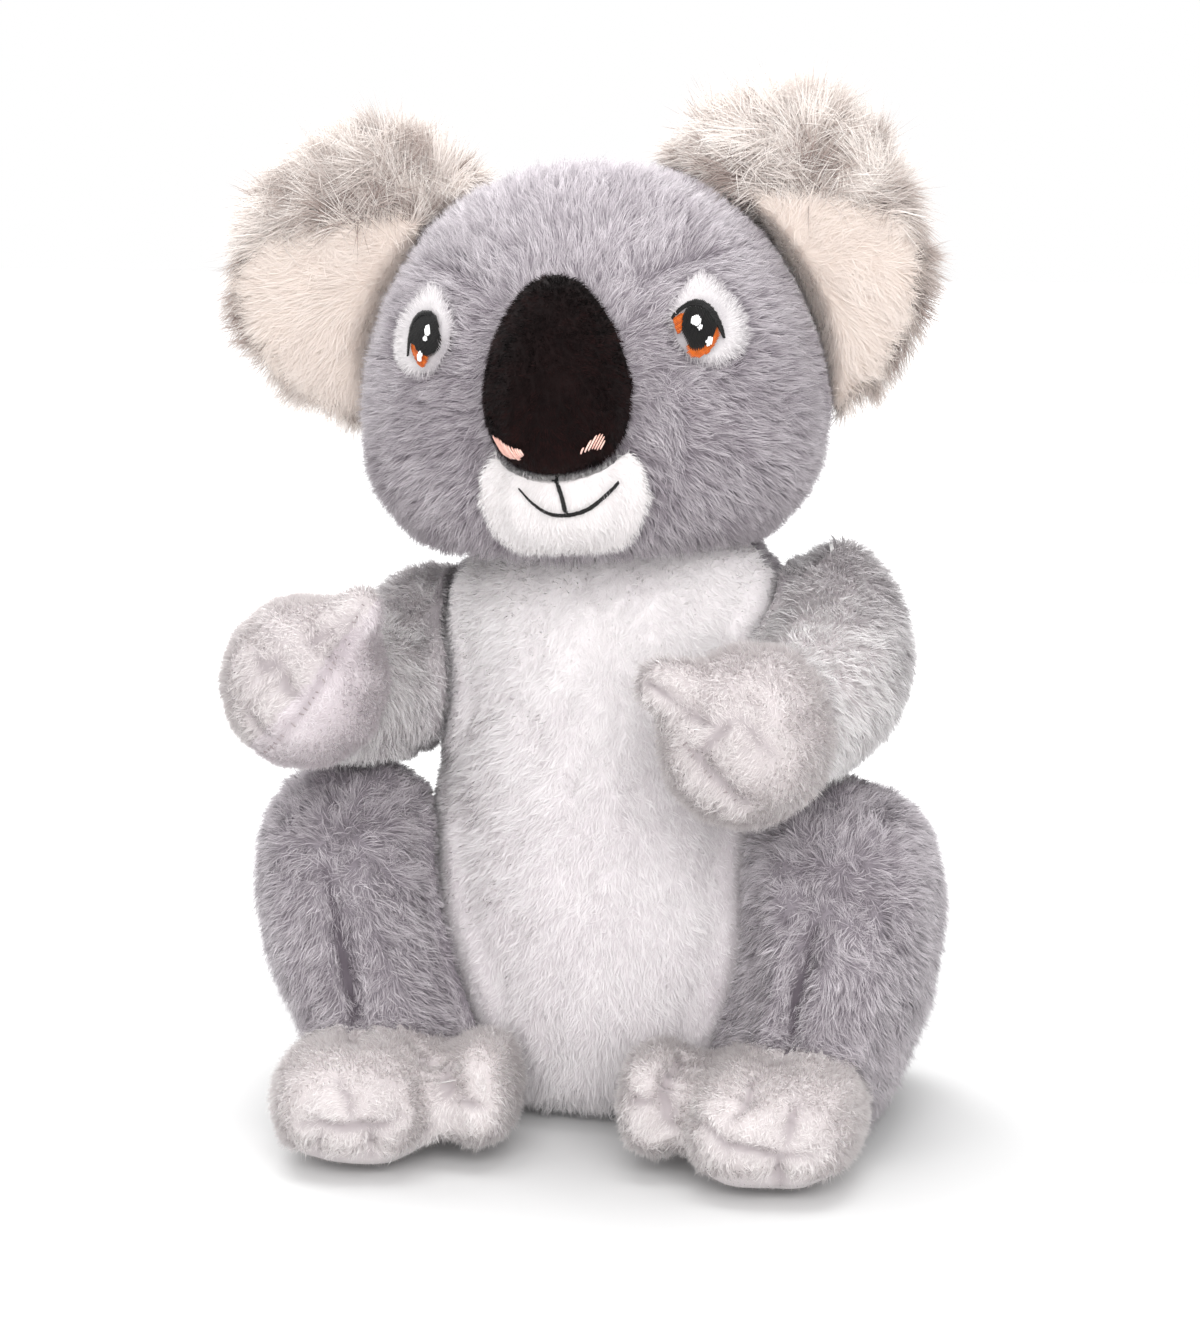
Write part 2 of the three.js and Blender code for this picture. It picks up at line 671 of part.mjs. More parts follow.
// An arm keeps clear of the torso as it swings, of the head however it turns, and of the splaying leg
function makeArm(side, name, leg) {
  const forms = armForms(side, name);
  const shoulder = new THREE.Vector3(side * shoulderSpread, 0, shoulderLevel);
  const group = bodyGroup(koala, shoulder);
  const inner = halfSpace(new THREE.Vector3(side * armInnerSpread, 0, 0), new THREE.Vector3(-side, 0, 0));
  const room = turned(swollen(torsoForm, gap), shoulder, new THREE.Vector3(1, 0, 0), 0, armRange,
    armTurnSteps);
  const shut = room.add(headRoom).add(leg).add(inner);
  const handRoom = solidOf(swollen(forms.hand, gap)).add(solidOf(swollen(forms.thumb, gap)));
  const armHollow = solidOf(swollen(forms.armCore, -wall));
  const handHollow = solidOf(swollen(forms.handCore, -wall));
  const hollow = armHollow.add(handHollow);
  const sleeve = solidOf(forms.arm).subtract(shut).subtract(handRoom).subtract(hollow);
  const paw = solidOf(forms.hand).add(solidOf(forms.thumb)).subtract(room).subtract(headRoom).subtract(leg)
    .subtract(hollow);
  const behind = forms.middle.clone().addScaledVector(forms.palm, -gap);
  const filling = solidOf(swollen(forms.armCore, -wall - gap))
    .add(solidOf(swollen(forms.handCore, -wall - gap)))
    .subtract(shut);
  addPiece(group, `arm_cover_${name}`, sleeve, greyPile);
  const back = forms.palm.clone().negate();
  addPiece(group, `paw_cover_${name}`, paw.intersect(halfSpace(behind, back)), pawPile);
  addPiece(group, `palm_${name}`, paw.intersect(halfSpace(forms.middle, forms.palm)), palmPile);
  addPiece(group, `arm_filling_${name}`, filling, fibre);
}

// Legs: thigh and shin folded together, sewn on at the hip, standing on the foot.
// Each row gives the height, the place outward and forward, and the reach across, front and back.
const legShares = {
  right: [
    [-0.0057, 0.66, 0.60, 0.72, 0.79, 0.75],
    [0.055, 0.66, 0.60, 0.88, 0.92, 0.91],
    [0.20, 0.72, 0.60, 0.98, 1.0, 1.0],
    [0.40, 0.86, 0.64, 1.0, 1.0, 0.94],
    [0.59, 0.97, 0.74, 1.0, 0.92, 0.81],
    [0.75, 1.02, 0.87, 0.97, 0.76, 0.62],
    [0.875, 1.05, 0.94, 0.82, 0.56, 0.43],
    [0.96, 1.07, 0.97, 0.54, 0.34, 0.26],
    [1, 1.07, 1, 0, 0, 0],
  ],
  left: [
    [-0.0057, 0.76, 0.60, 0.72, 0.77, 0.75],
    [0.055, 0.77, 0.60, 0.88, 0.90, 0.91],
    [0.20, 0.82, 0.60, 0.98, 1.0, 1.0],
    [0.40, 0.92, 0.64, 1.0, 1.01, 0.94],
    [0.59, 0.97, 0.74, 1.0, 0.94, 0.81],
    [0.75, 0.95, 0.87, 0.98, 0.78, 0.62],
    [0.875, 0.93, 0.94, 0.86, 0.57, 0.43],
    [0.96, 0.93, 0.97, 0.58, 0.35, 0.26],
    [1, 0.93, 1, 0, 0, 0],
  ],
};
const legFullness = 2.4;
const footSpreadShares = { right: [0.77, 0.335], left: [0.80, 0.365] };
const footFullness = 2.6;
const footRowShares = [
  [0, 0.50],
  [0.12, 0.78],
  [0.32, 0.96],
  [0.55, 1.0],
  [0.74, 0.95],
  [0.88, 0.80],
  [0.965, 0.54],
  [1, 0],
];

function legForms(side, name) {
  const sideways = new THREE.Vector3(1, 0, 0);
  const rows = legShares[name].map(([height, out, ahead, across, front, back]) => ({
    middle: new THREE.Vector3(side * out * legSpread, -ahead * legForward, height * legTop),
    across: across * legWidth / 2,
    front: front * legFront,
    back: back * legBack,
  }));
  const forward = new THREE.Vector3(0, -1, 0);
  const pad = (spread, tip, length, width, height, sides, lift = -seatCut) => stuffedForm(padRows(
    new THREE.Vector3(side * spread * legSpread, length - tip, height / 2 + lift),
    forward, length, width / 2, height / 2, footRowShares), sides, sideways, footFullness);
  const [footSpread, toeSpread] = footSpreadShares[name];
  const toeTip = footForward - toeBack;
  return {
    leg: stuffedForm(rows, limbSides + 2, sideways, legFullness),
    legCore: stuffedForm(coreRows(rows), coreSides, sideways, legFullness),
    foot: pad(footSpread, footForward, footLength, footWidth, footHeight, limbSides),
    footCore: pad(footSpread, footForward, footLength, footWidth, footHeight, coreSides),
    toe: pad(toeSpread, toeTip, toeLength, toeWidth, toeHeight, coreSides, toeLift),
  };
}

function makeLeg(side, name) {
  const forms = legForms(side, name);
  const hip = new THREE.Vector3(side * hipSpread, hipBack, 0);
  const group = bodyGroup(koala, hip);
  const outward = side * legSplay;
  const room = turned(swollen(torsoForm, gap), hip, upright, -outward, side * legClose, legTurnSteps);
  const legHollow = solidOf(swollen(forms.legCore, -wall));
  const footHollow = solidOf(swollen(forms.footCore, -wall));
  const cover = solidOf(forms.leg).subtract(underFloor).subtract(room)
    .subtract(legHollow).subtract(footHollow);
  const shin = solidOf(swollen(forms.leg, gap));
  const underSole = halfSpace(new THREE.Vector3(0, 0, soleHeight), upright.clone().negate());
  const sole = solidOf(forms.foot).intersect(underSole).subtract(underFloor).subtract(room).subtract(shin);
  const soleRoom = solidOf(swollen(forms.foot, gap))
    .intersect(halfSpace(new THREE.Vector3(0, 0, soleHeight + gap), upright.clone().negate()));
  const foot = solidOf(forms.foot).add(solidOf(forms.toe)).subtract(underFloor).subtract(room).subtract(shin)
    .subtract(soleRoom);
  const filling = solidOf(swollen(forms.legCore, -wall - gap))
    .add(solidOf(swollen(forms.footCore, -wall - gap)))
    .subtract(room);
  addPiece(group, `leg_cover_${name}`, cover, greyPile);
  addPiece(group, `foot_cover_${name}`, foot.subtract(footHollow), pawPile);
  addPiece(group, `sole_${name}`, sole, palmPile);
  addPiece(group, `leg_filling_${name}`, filling, fibre);
  return turned(swollen(forms.leg, legRoom), hip, upright, -side * legClose, outward, legTurnSteps);
}

makeTorso();
makeHead();
[['left', 1], ['right', -1]].forEach(([name, side]) => {
  const leg = makeLeg(side, name);
  makeArm(side, name, leg);
});

export default koala;
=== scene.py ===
# Plush koala, seated. Each cover is a skin of backing cloth with its pile standing on it as mesh.
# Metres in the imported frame: +Z up, the toy faces -Y, its left side is +X. Lengths are written in mm.
# No cloth is simulated: every cover is stuffed tight, so its vertices are worked directly.
import json
import math

import bpy
import numpy as np
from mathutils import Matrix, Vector
from mathutils.bvhtree import BVHTree


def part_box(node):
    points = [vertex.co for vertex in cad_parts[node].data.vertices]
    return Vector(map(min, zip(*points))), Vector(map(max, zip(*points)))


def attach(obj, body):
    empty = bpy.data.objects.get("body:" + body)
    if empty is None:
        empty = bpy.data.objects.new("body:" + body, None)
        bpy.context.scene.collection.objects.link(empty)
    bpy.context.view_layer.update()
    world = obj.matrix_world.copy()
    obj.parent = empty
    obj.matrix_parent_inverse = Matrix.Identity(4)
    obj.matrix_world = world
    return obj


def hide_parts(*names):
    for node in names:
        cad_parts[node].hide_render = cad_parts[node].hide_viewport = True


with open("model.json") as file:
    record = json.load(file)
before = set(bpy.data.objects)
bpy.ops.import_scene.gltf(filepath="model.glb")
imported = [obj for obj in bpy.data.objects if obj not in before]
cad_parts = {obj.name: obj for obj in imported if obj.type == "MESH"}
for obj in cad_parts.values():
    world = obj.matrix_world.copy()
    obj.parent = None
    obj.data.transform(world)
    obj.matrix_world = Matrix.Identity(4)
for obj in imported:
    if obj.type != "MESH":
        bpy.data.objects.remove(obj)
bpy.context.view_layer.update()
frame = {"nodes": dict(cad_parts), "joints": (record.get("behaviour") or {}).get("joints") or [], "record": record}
mm = 0.001
up = np.array([0.0, 0.0, 1.0])
sides = ("left", "right")

# Camera, at the photograph's angle
camera_turn = math.radians(11)
camera_rise = math.radians(10)
camera_distance = 900 * mm
camera_target = np.array([-3, -12, 111]) * mm
camera_lens = 108
camera_sensor = 36
photo_width, photo_height = 1200, 1328      # pixels, in which creases are drawn


def camera_back():
    """The direction from the target to the camera"""
    flat = math.cos(camera_rise)
    return np.array([math.sin(camera_turn) * flat, -math.cos(camera_turn) * flat, math.sin(camera_rise)])


def make_camera():
    camera = bpy.data.objects.new("camera", bpy.data.cameras.new("camera"))
    bpy.context.scene.collection.objects.link(camera)
    camera.data.lens = camera_lens
    camera.data.sensor_width = camera_sensor
    camera.data.sensor_fit = "HORIZONTAL"
    back = camera_back()
    camera.location = camera_target + back * camera_distance
    camera.rotation_mode = "QUATERNION"
    camera.rotation_quaternion = Vector(-back).to_track_quat("-Z", "Y")
    bpy.context.scene.camera = camera


# Small numpy helpers
def unit(vectors):
    length = np.linalg.norm(vectors, axis=-1, keepdims=True)
    return vectors / np.maximum(length, 1e-12)


def dot(a, b):
    return np.sum(a * b, axis=-1, keepdims=True)


def step(value, low, high):
    """0 below low, 1 above high, smooth between"""
    share = np.clip((value - low) / (high - low), 0, 1)
    return share * share * (3 - 2 * share)


def waves(points, length, seed, count=7):
    """Smooth random values, from about -1 to 1, that change over a length"""
    draw = np.random.default_rng(seed)
    ways = unit(draw.normal(size=(count, 3)))
    sizes = draw.uniform(0.7, 1.5, count) * 2 * math.pi / length
    starts = draw.uniform(0, 2 * math.pi, count)
    return np.sin(points @ (ways * sizes[:, None]).T + starts).sum(axis=1) / math.sqrt(count)


def wave_vectors(points, length, seed):
    """Smooth random vectors that change over a length"""
    return np.stack([waves(points, length, seed + i) for i in range(3)], axis=1)


# Skins: the CAD nodes of a body, joined, evenly meshed, rounded and drawn in by the depth of their pile
class Skin:
    """A form's points, normals, quads and edges, which cover each quad belongs to, and for each point how
    thick the form is (thick), how near another body is (contact), how deep in a crease it lies (shut) and
    which way the pile parts (parting)"""


def node_arrays(names, swell=0.0):
    """Points and triangles of CAD nodes, moved out a little so that neighbours join"""
    points, triangles, start = [], [], 0
    for name in names:
        mesh = frame["nodes"][name].data
        own = np.zeros(len(mesh.vertices) * 3)
        mesh.vertices.foreach_get("co", own)
        own = own.reshape(-1, 3)
        mesh.calc_loop_triangles()
        faces = np.zeros(len(mesh.loop_triangles) * 3, int)
        mesh.loop_triangles.foreach_get("vertices", faces)
        own, faces = welded(own, faces.reshape(-1, 3))
        points.append(own + swell * vertex_normals(own, faces))
        triangles.append(faces + start)
        start += len(own)
    return np.concatenate(points), np.concatenate(triangles)


def welded(points, faces):
    """Vertices at one place made into one"""
    keys = np.round(points / (0.001 * mm)).astype(np.int64)
    _, first, place = np.unique(keys, axis=0, return_index=True, return_inverse=True)
    faces = place.reshape(-1)[faces]
    whole = (faces[:, 0] != faces[:, 1]) & (faces[:, 1] != faces[:, 2]) & (faces[:, 2] != faces[:, 0])
    return points[first], faces[whole]


def vertex_normals(points, faces):
    a, b, c = points[faces[:, 0]], points[faces[:, 1]], points[faces[:, -2]]
    d = points[faces[:, -1]]
    across = np.cross(c - a, d - b) if faces.shape[1] == 4 else np.cross(b - a, d - a)
    normals = np.zeros_like(points)
    for column in range(faces.shape[1]):
        for axis in range(3):
            normals[:, axis] += np.bincount(faces[:, column], across[:, axis], len(points))
    return unit(normals)


def remeshed(points, faces, voxel):
    """The outside of overlapping closed forms as one even mesh of quads"""
    mesh = bpy.data.meshes.new("form")
    mesh.from_pydata(points.tolist(), [], faces.tolist())
    form = bpy.data.objects.new("form", mesh)
    bpy.context.scene.collection.objects.link(form)
    modifier = form.modifiers.new("even", "REMESH")
    modifier.mode = "VOXEL"
    modifier.voxel_size = voxel
    even = form.evaluated_get(bpy.context.evaluated_depsgraph_get()).to_mesh()
    out = np.zeros(len(even.vertices) * 3)
    even.vertices.foreach_get("co", out)
    quads = np.zeros(len(even.polygons) * 4, int)
    even.polygons.foreach_get("vertices", quads)
    form.to_mesh_clear()
    bpy.data.objects.remove(form)
    bpy.data.meshes.remove(mesh)
    return out.reshape(-1, 3), quads.reshape(-1, 4)


def edges_of(quads):
    pairs = np.concatenate([quads[:, [0, 1]], quads[:, [1, 2]], quads[:, [2, 3]], quads[:, [3, 0]]])
    return np.unique(np.sort(pairs, axis=1), axis=0)


def averaged(values, edges, count):
    """The mean of each vertex's neighbours"""
    ends = np.concatenate([edges[:, 0], edges[:, 1]])
    others = np.concatenate([edges[:, 1], edges[:, 0]])
    total = np.stack([np.bincount(ends, values[others, k], count) for k in range(values.shape[1])], axis=1)
    return total / np.maximum(np.bincount(ends, minlength=count), 1)[:, None]


def rounded(points, quads, edges, rounds):
    """Facets rounded off, with what the rounding took from the size given back along the normals"""
    soft = points
    for _ in range(rounds):
        soft = 0.5 * soft + 0.5 * averaged(soft, edges, len(points))
    outward = vertex_normals(soft, quads)
    lost = dot(points - soft, outward)
    for _ in range(rounds):
        lost = 0.5 * lost + 0.5 * averaged(lost, edges, len(points))
    return soft + outward * lost


def tree_from(points, faces):
    return BVHTree.FromPolygons([Vector(p) for p in points], faces.tolist())


def tree_of(names):
    return tree_from(*node_arrays(names))


def distances(tree, points, reach=1.0):
    found = [tree.find_nearest(Vector(p), reach)[3] for p in points]
    return np.array([reach if d is None else d for d in found])


nodes_of_body = frame["record"]["behaviour"]["bodies"]
floor_gap = 0.3 * mm
join_swell = 0.45 * mm      # the CAD leaves 0.35 mm between pieces, so each is swollen by more than half
line_step = 0.8             # mm between the points of a crease
pucker_every = 7.5          # mm from one pucker of a crease to the next
thin_share = 0.28           # of a form's thickness, the most that pile and crease together draw it in
touching, clear = 0.8, 7    # mm to another body: in full contact with it, and free of it
beside_within = 8           # mm to another body, within which a quad counts as beside it
flat_nodes = ("eye", "mouth", "nostril")    # the start of names of nodes too thin to press on a cover


def sight(pixel):
    """The direction in which the camera sees a place of the photograph"""
    back = camera_back()
    right = np.array([math.cos(camera_turn), math.sin(camera_turn), 0])
    rise = np.cross(back, right)
    reach = camera_lens / camera_sensor * photo_width
    return unit(-back * reach + right * (pixel[0] - photo_width / 2) - rise * (pixel[1] - photo_height / 2))


def seen_on(names, pixels):
    """A line drawn on the photograph as evenly spaced points on the nodes that carry it"""
    tree = tree_of(names)
    eye = camera_target + camera_back() * camera_distance
    points = []
    for pixel in pixels:
        way = sight(pixel)
        hit = tree.ray_cast(Vector(eye), Vector(way))
        if hit[0] is None:
            hit = tree.find_nearest(Vector(eye + way * camera_distance))
        points.append(np.array(hit[0]))
    points = np.array(points)
    reach = np.concatenate([[0], np.cumsum(np.linalg.norm(np.diff(points, axis=0), axis=1))])
    marks = np.linspace(0, reach[-1], max(int(reach[-1] / (line_step * mm)), 2))
    line = np.stack([np.interp(marks, reach, points[:, k]) for k in range(3)], axis=1)
    return np.array([np.array(tree.find_nearest(Vector(p))[0]) for p in line])


def thickness(points, quads, edges):
    """How thick the form is under each vertex, with the thin edges spread a little"""
    form = tree_from(points, quads)
    most = 40 * mm
    normals = vertex_normals(points, quads)
    thick = np.full(len(points), most)
    for k, (point, way) in enumerate(zip(points, -normals)):
        reach = form.ray_cast(Vector(point + way * 0.2 * mm), Vector(way), most)[3]
        if reach is not None:
            thick[k] = reach
    for _ in range(4):
        thick = np.minimum(thick, averaged(thick[:, None], edges, len(points))[:, 0])
    return thick


def make_skin(body, depths, inner, voxel, rounds, creases=(), behind=None):
    """A body's cloth under its pile. depths gives its CAD nodes that show and the depth of their pile, and
    inner those that only close the form. Each crease is a line of photograph pixels with its width and depth.
    behind is the cover that has all that faces backwards, and beside another body all that faces sideways.
    Lengths are in mm."""
    covers = list(depths)
    skin = Skin()
    skin.body = body
    points, faces = node_arrays(covers + inner, join_swell)
    points, quads = remeshed(points, faces, voxel * mm)
    skin.edges = edges_of(quads)
    points = rounded(points, quads, skin.edges, rounds)
    others = [n for b, names in nodes_of_body.items() for n in names
              if b != body and not n.startswith(flat_nodes)]
    near = distances(tree_of(others), points, 30 * mm)
    apart = np.stack([distances(tree_of([name]), points) for name in covers], axis=1)
    vertex_cover = np.argmin(apart, axis=1)
    skin.covers = covers
    skin.quads = quads
    quad_cover = np.argmin(apart[quads].mean(axis=1), axis=1)
    if behind:
        backwards = vertex_normals(points, quads)[quads].mean(axis=1)[:, 1]
        beside = near[quads].min(axis=1) < beside_within * mm
        quad_cover[backwards > np.where(beside, -0.05, 0.3)] = covers.index(behind)
    skin.quad_cover = quad_cover
    depth = (np.array([depths[name] for name in covers]) * mm)[vertex_cover]
    for _ in range(6):
        depth = averaged(depth[:, None], skin.edges, len(points))[:, 0]
    skin.contact = 1 - step(near, touching * mm, clear * mm)
    depth = depth * (1 - 0.75 * skin.contact) + join_swell
    normals = vertex_normals(points, quads)
    skin.parting = np.zeros_like(points)
    skin.shut = np.zeros(len(points))
    groove = np.zeros(len(points))
    for pixels, width, sunk in creases:
        line = seen_on(covers, pixels)
        gaps = np.linalg.norm(points[:, None] - line[None], axis=2)
        nearest, gap = gaps.argmin(axis=1), gaps.min(axis=1)
        share = nearest / max(len(line) - 1, 1)
        # A crease runs out softly at its two ends, and its puckers make it now deeper and now shallower
        ends = 0.3 + 0.7 * np.sin(np.pi * np.clip(share, 0.02, 0.98)) ** 0.5
        pucker = ends * (0.88 + 0.12 * np.cos(nearest * line_step * 2 * np.pi / pucker_every))
        groove = np.maximum(groove, np.exp(-gap / (width * mm)) * pucker * sunk * mm)
        skin.shut = np.maximum(skin.shut, np.exp(-(gap / (1.5 * mm)) ** 2) * ends * min(sunk / 3, 1))
        pull = ends * np.exp(-(gap / (1.6 * width * mm)) ** 2)
        skin.parting += unit(points - line[nearest]) * pull[:, None]
    skin.thick = thickness(points, quads, skin.edges)
    depth = np.minimum(depth + groove, thin_share * skin.thick)
    skin.points = points - normals * depth[:, None]
    skin.normals = vertex_normals(skin.points, quads)
    return skin


def plain_object(name, points, faces, material):
    """A smooth-shaded mesh without UV places"""
    mesh = bpy.data.meshes.new(name)
    mesh.from_pydata(points.tolist(), [], faces.tolist())
    mesh.polygons.foreach_set("use_smooth", np.ones(len(faces), bool))
    mesh.materials.append(material)
    piece = bpy.data.objects.new(name, mesh)
    bpy.context.scene.collection.objects.link(piece)
    return piece


def patch_of(skin, cover):
    """One cover's share of a skin"""
    quads = skin.quads[skin.quad_cover == skin.covers.index(cover)]
    used, place = np.unique(quads, return_inverse=True)
    return used, place.reshape(-1, 4)


def colour(text):
    """An sRGB hex value as linear red, green, blue and alpha"""
    values = np.array([int(text[i:i + 2], 16) / 255 for i in (1, 3, 5)])
    linear = np.where(values <= 0.04045, values / 12.92, ((values + 0.055) / 1.055) ** 2.4)
    return (*linear.tolist(), 1.0)


def add_node(tree, kind, values=(), **settings):
    """A node with its settings; values maps its sockets to a number, a colour or another node's output"""
    node = tree.nodes.new(kind)
    for name, value in settings.items():
        setattr(node, name, value)
    for socket, value in dict(values).items():
        if isinstance(value, bpy.types.NodeSocket):
            tree.links.new(value, node.inputs[socket])
        else:
            node.inputs[socket].default_value = value
    return node


def new_material(name, values):
    """A material, its node tree and its Principled shader with some of its values"""
    material = bpy.data.materials.new(name)
    material.use_nodes = True
    shader = material.node_tree.nodes["Principled BSDF"]
    for socket, value in values.items():
        shader.inputs[socket].default_value = value
    return material, material.node_tree, shader


def pile_material(name, dark, light, sheen=0.4, through=0.26):
    """Pile fabric: matt, with a soft bloom at its edges. dark and light are the colours at the root and at
    the tip of the darkest and lightest strands. Each strand carries in its UV map how light it is, and how
    far along it a point lies. through is the share of the light that shines through a strand."""
    material, tree, shader = new_material(name, {"Roughness": 0.85, "Specular IOR Level": 0.12,
                                                 "Sheen Weight": sheen, "Sheen Roughness": 0.5})
    place = add_node(tree, "ShaderNodeUVMap", uv_map="OFBake")
    split = add_node(tree, "ShaderNodeSeparateXYZ", {0: place.outputs[0]})
    low, high = [add_node(tree, "ShaderNodeMix", {0: split.outputs["Y"], 6: colour(root), 7: colour(tip)},
                          data_type="RGBA") for root, tip in (dark, light)]
    shade = add_node(tree, "ShaderNodeMix", {0: split.outputs["X"], 6: low.outputs[2], 7: high.outputs[2]},
                     data_type="RGBA")
    tree.links.new(shade.outputs[2], shader.inputs["Base Color"])
    if through:
        glow = add_node(tree, "ShaderNodeBsdfTranslucent", {"Color": shade.outputs[2]})
        both = add_node(tree, "ShaderNodeMixShader", {0: through, 1: shader.outputs[0], 2: glow.outputs[0]})
        tree.links.new(both.outputs[0], tree.nodes["Material Output"].inputs["Surface"])
    return material


def thread_material(name, dark, light, roughness=0.38):
    """Rayon embroidery thread: a soft gloss, and darker and lighter bands where its two plies twist"""
    material, tree, shader = new_material(name, {"Roughness": roughness, "Specular IOR Level": 0.3})
    place = add_node(tree, "ShaderNodeUVMap", uv_map="OFBake")
    split = add_node(tree, "ShaderNodeSeparateXYZ", {0: place.outputs[0]})
    turns = add_node(tree, "ShaderNodeMath", {0: split.outputs["Y"], 1: 9.0}, operation="MULTIPLY")
    twist = add_node(tree, "ShaderNodeMath", {0: turns.outputs[0], 1: 1.0}, operation="PINGPONG")
    tone = add_node(tree, "ShaderNodeMath", {0: twist.outputs[0], 1: 0.35, 2: split.outputs["X"]},
                    operation="MULTIPLY_ADD", use_clamp=True)
    shade = add_node(tree, "ShaderNodeMix", {0: tone.outputs[0], 6: colour(dark), 7: colour(light)},
                     data_type="RGBA")
    tree.links.new(shade.outputs[2], shader.inputs["Base Color"])
    return material


def fibre_material(name):
    """Loose polyester filling: white matted fibre, greyer in its hollows as painted shade"""
    material, tree, shader = new_material(name, {"Roughness": 0.95, "Sheen Weight": 0.2})
    place = add_node(tree, "ShaderNodeTexCoord")
    clumps = add_node(tree, "ShaderNodeTexNoise", {"Vector": place.outputs["Object"], "Scale": 1 / (6 * mm),
                                                   "Detail": 6.0, "Roughness": 0.7})
    shade = add_node(tree, "ShaderNodeMix",
                     {0: clumps.outputs[0], 6: colour("#C9C8C6"), 7: colour("#F7F6F4")}, data_type="RGBA")
    bump = add_node(tree, "ShaderNodeBump", {"Height": clumps.outputs[0], "Distance": 1 * mm})
    tree.links.new(shade.outputs[2], shader.inputs["Base Color"])
    tree.links.new(bump.outputs[0], shader.inputs["Normal"])
    return material


def scatter(skin, quads, per_area, draw):
    """Even random places on a patch: point, normal, contact, shut and parting at each"""
    corners = np.concatenate([quads[:, [0, 1, 2]], quads[:, [0, 2, 3]]])
    a, b, c = (skin.points[corners[:, k]] for k in range(3))
    areas = np.linalg.norm(np.cross(b - a, c - a), axis=1) / 2
    ends = np.cumsum(areas)
    count = int(ends[-1] * per_area)
    marks = (np.arange(count) + draw.uniform(0, 1, count)) / count * ends[-1]
    chosen = corners[np.searchsorted(ends, marks).clip(0, len(corners) - 1)]
    r, q = np.sqrt(draw.uniform(0, 1, count)), draw.uniform(0, 1, count)
    shares = np.stack([1 - r, r * (1 - q), r * q], axis=1)

    def at(values):
        return sum(values[chosen[:, k]] * shares[:, [k]] for k in range(3))
    return [at(skin.points), unit(at(skin.normals)), at(skin.contact[:, None]), at(skin.shut[:, None]),
            at(skin.parting)]


def tufts(points, size, seed):
    """For each point the middle of its tuft, and three random numbers that the whole tuft shares. Each cell
    of a grid has one middle, at a place mixed from the cell's indices, and a point's tuft is the nearest."""
    cells = np.floor(points / size).astype(np.int64)
    best = np.full(len(points), 1e9)
    middle = np.zeros_like(points)
    shared = np.zeros((len(points), 3))
    for offset in np.ndindex(3, 3, 3):
        cell = cells + np.array(offset) - 1
        mixed = cell @ np.array([73856093, 19349663, 83492791]) + seed * 2654435761
        draws = []
        for k in range(6):
            value = np.sin(mixed % 100003 * 12.9898 + k * 78.233) * 43758.5453
            draws.append(value - np.floor(value))
        draws = np.stack(draws, axis=1)
        centre = (cell + draws[:, :3]) * size
        gap = np.sum((centre - points) ** 2, axis=1)
        closer = gap < best
        best[closer] = gap[closer]
        middle[closer] = centre[closer]
        shared[closer] = draws[closer, 3:]
    return middle, shared


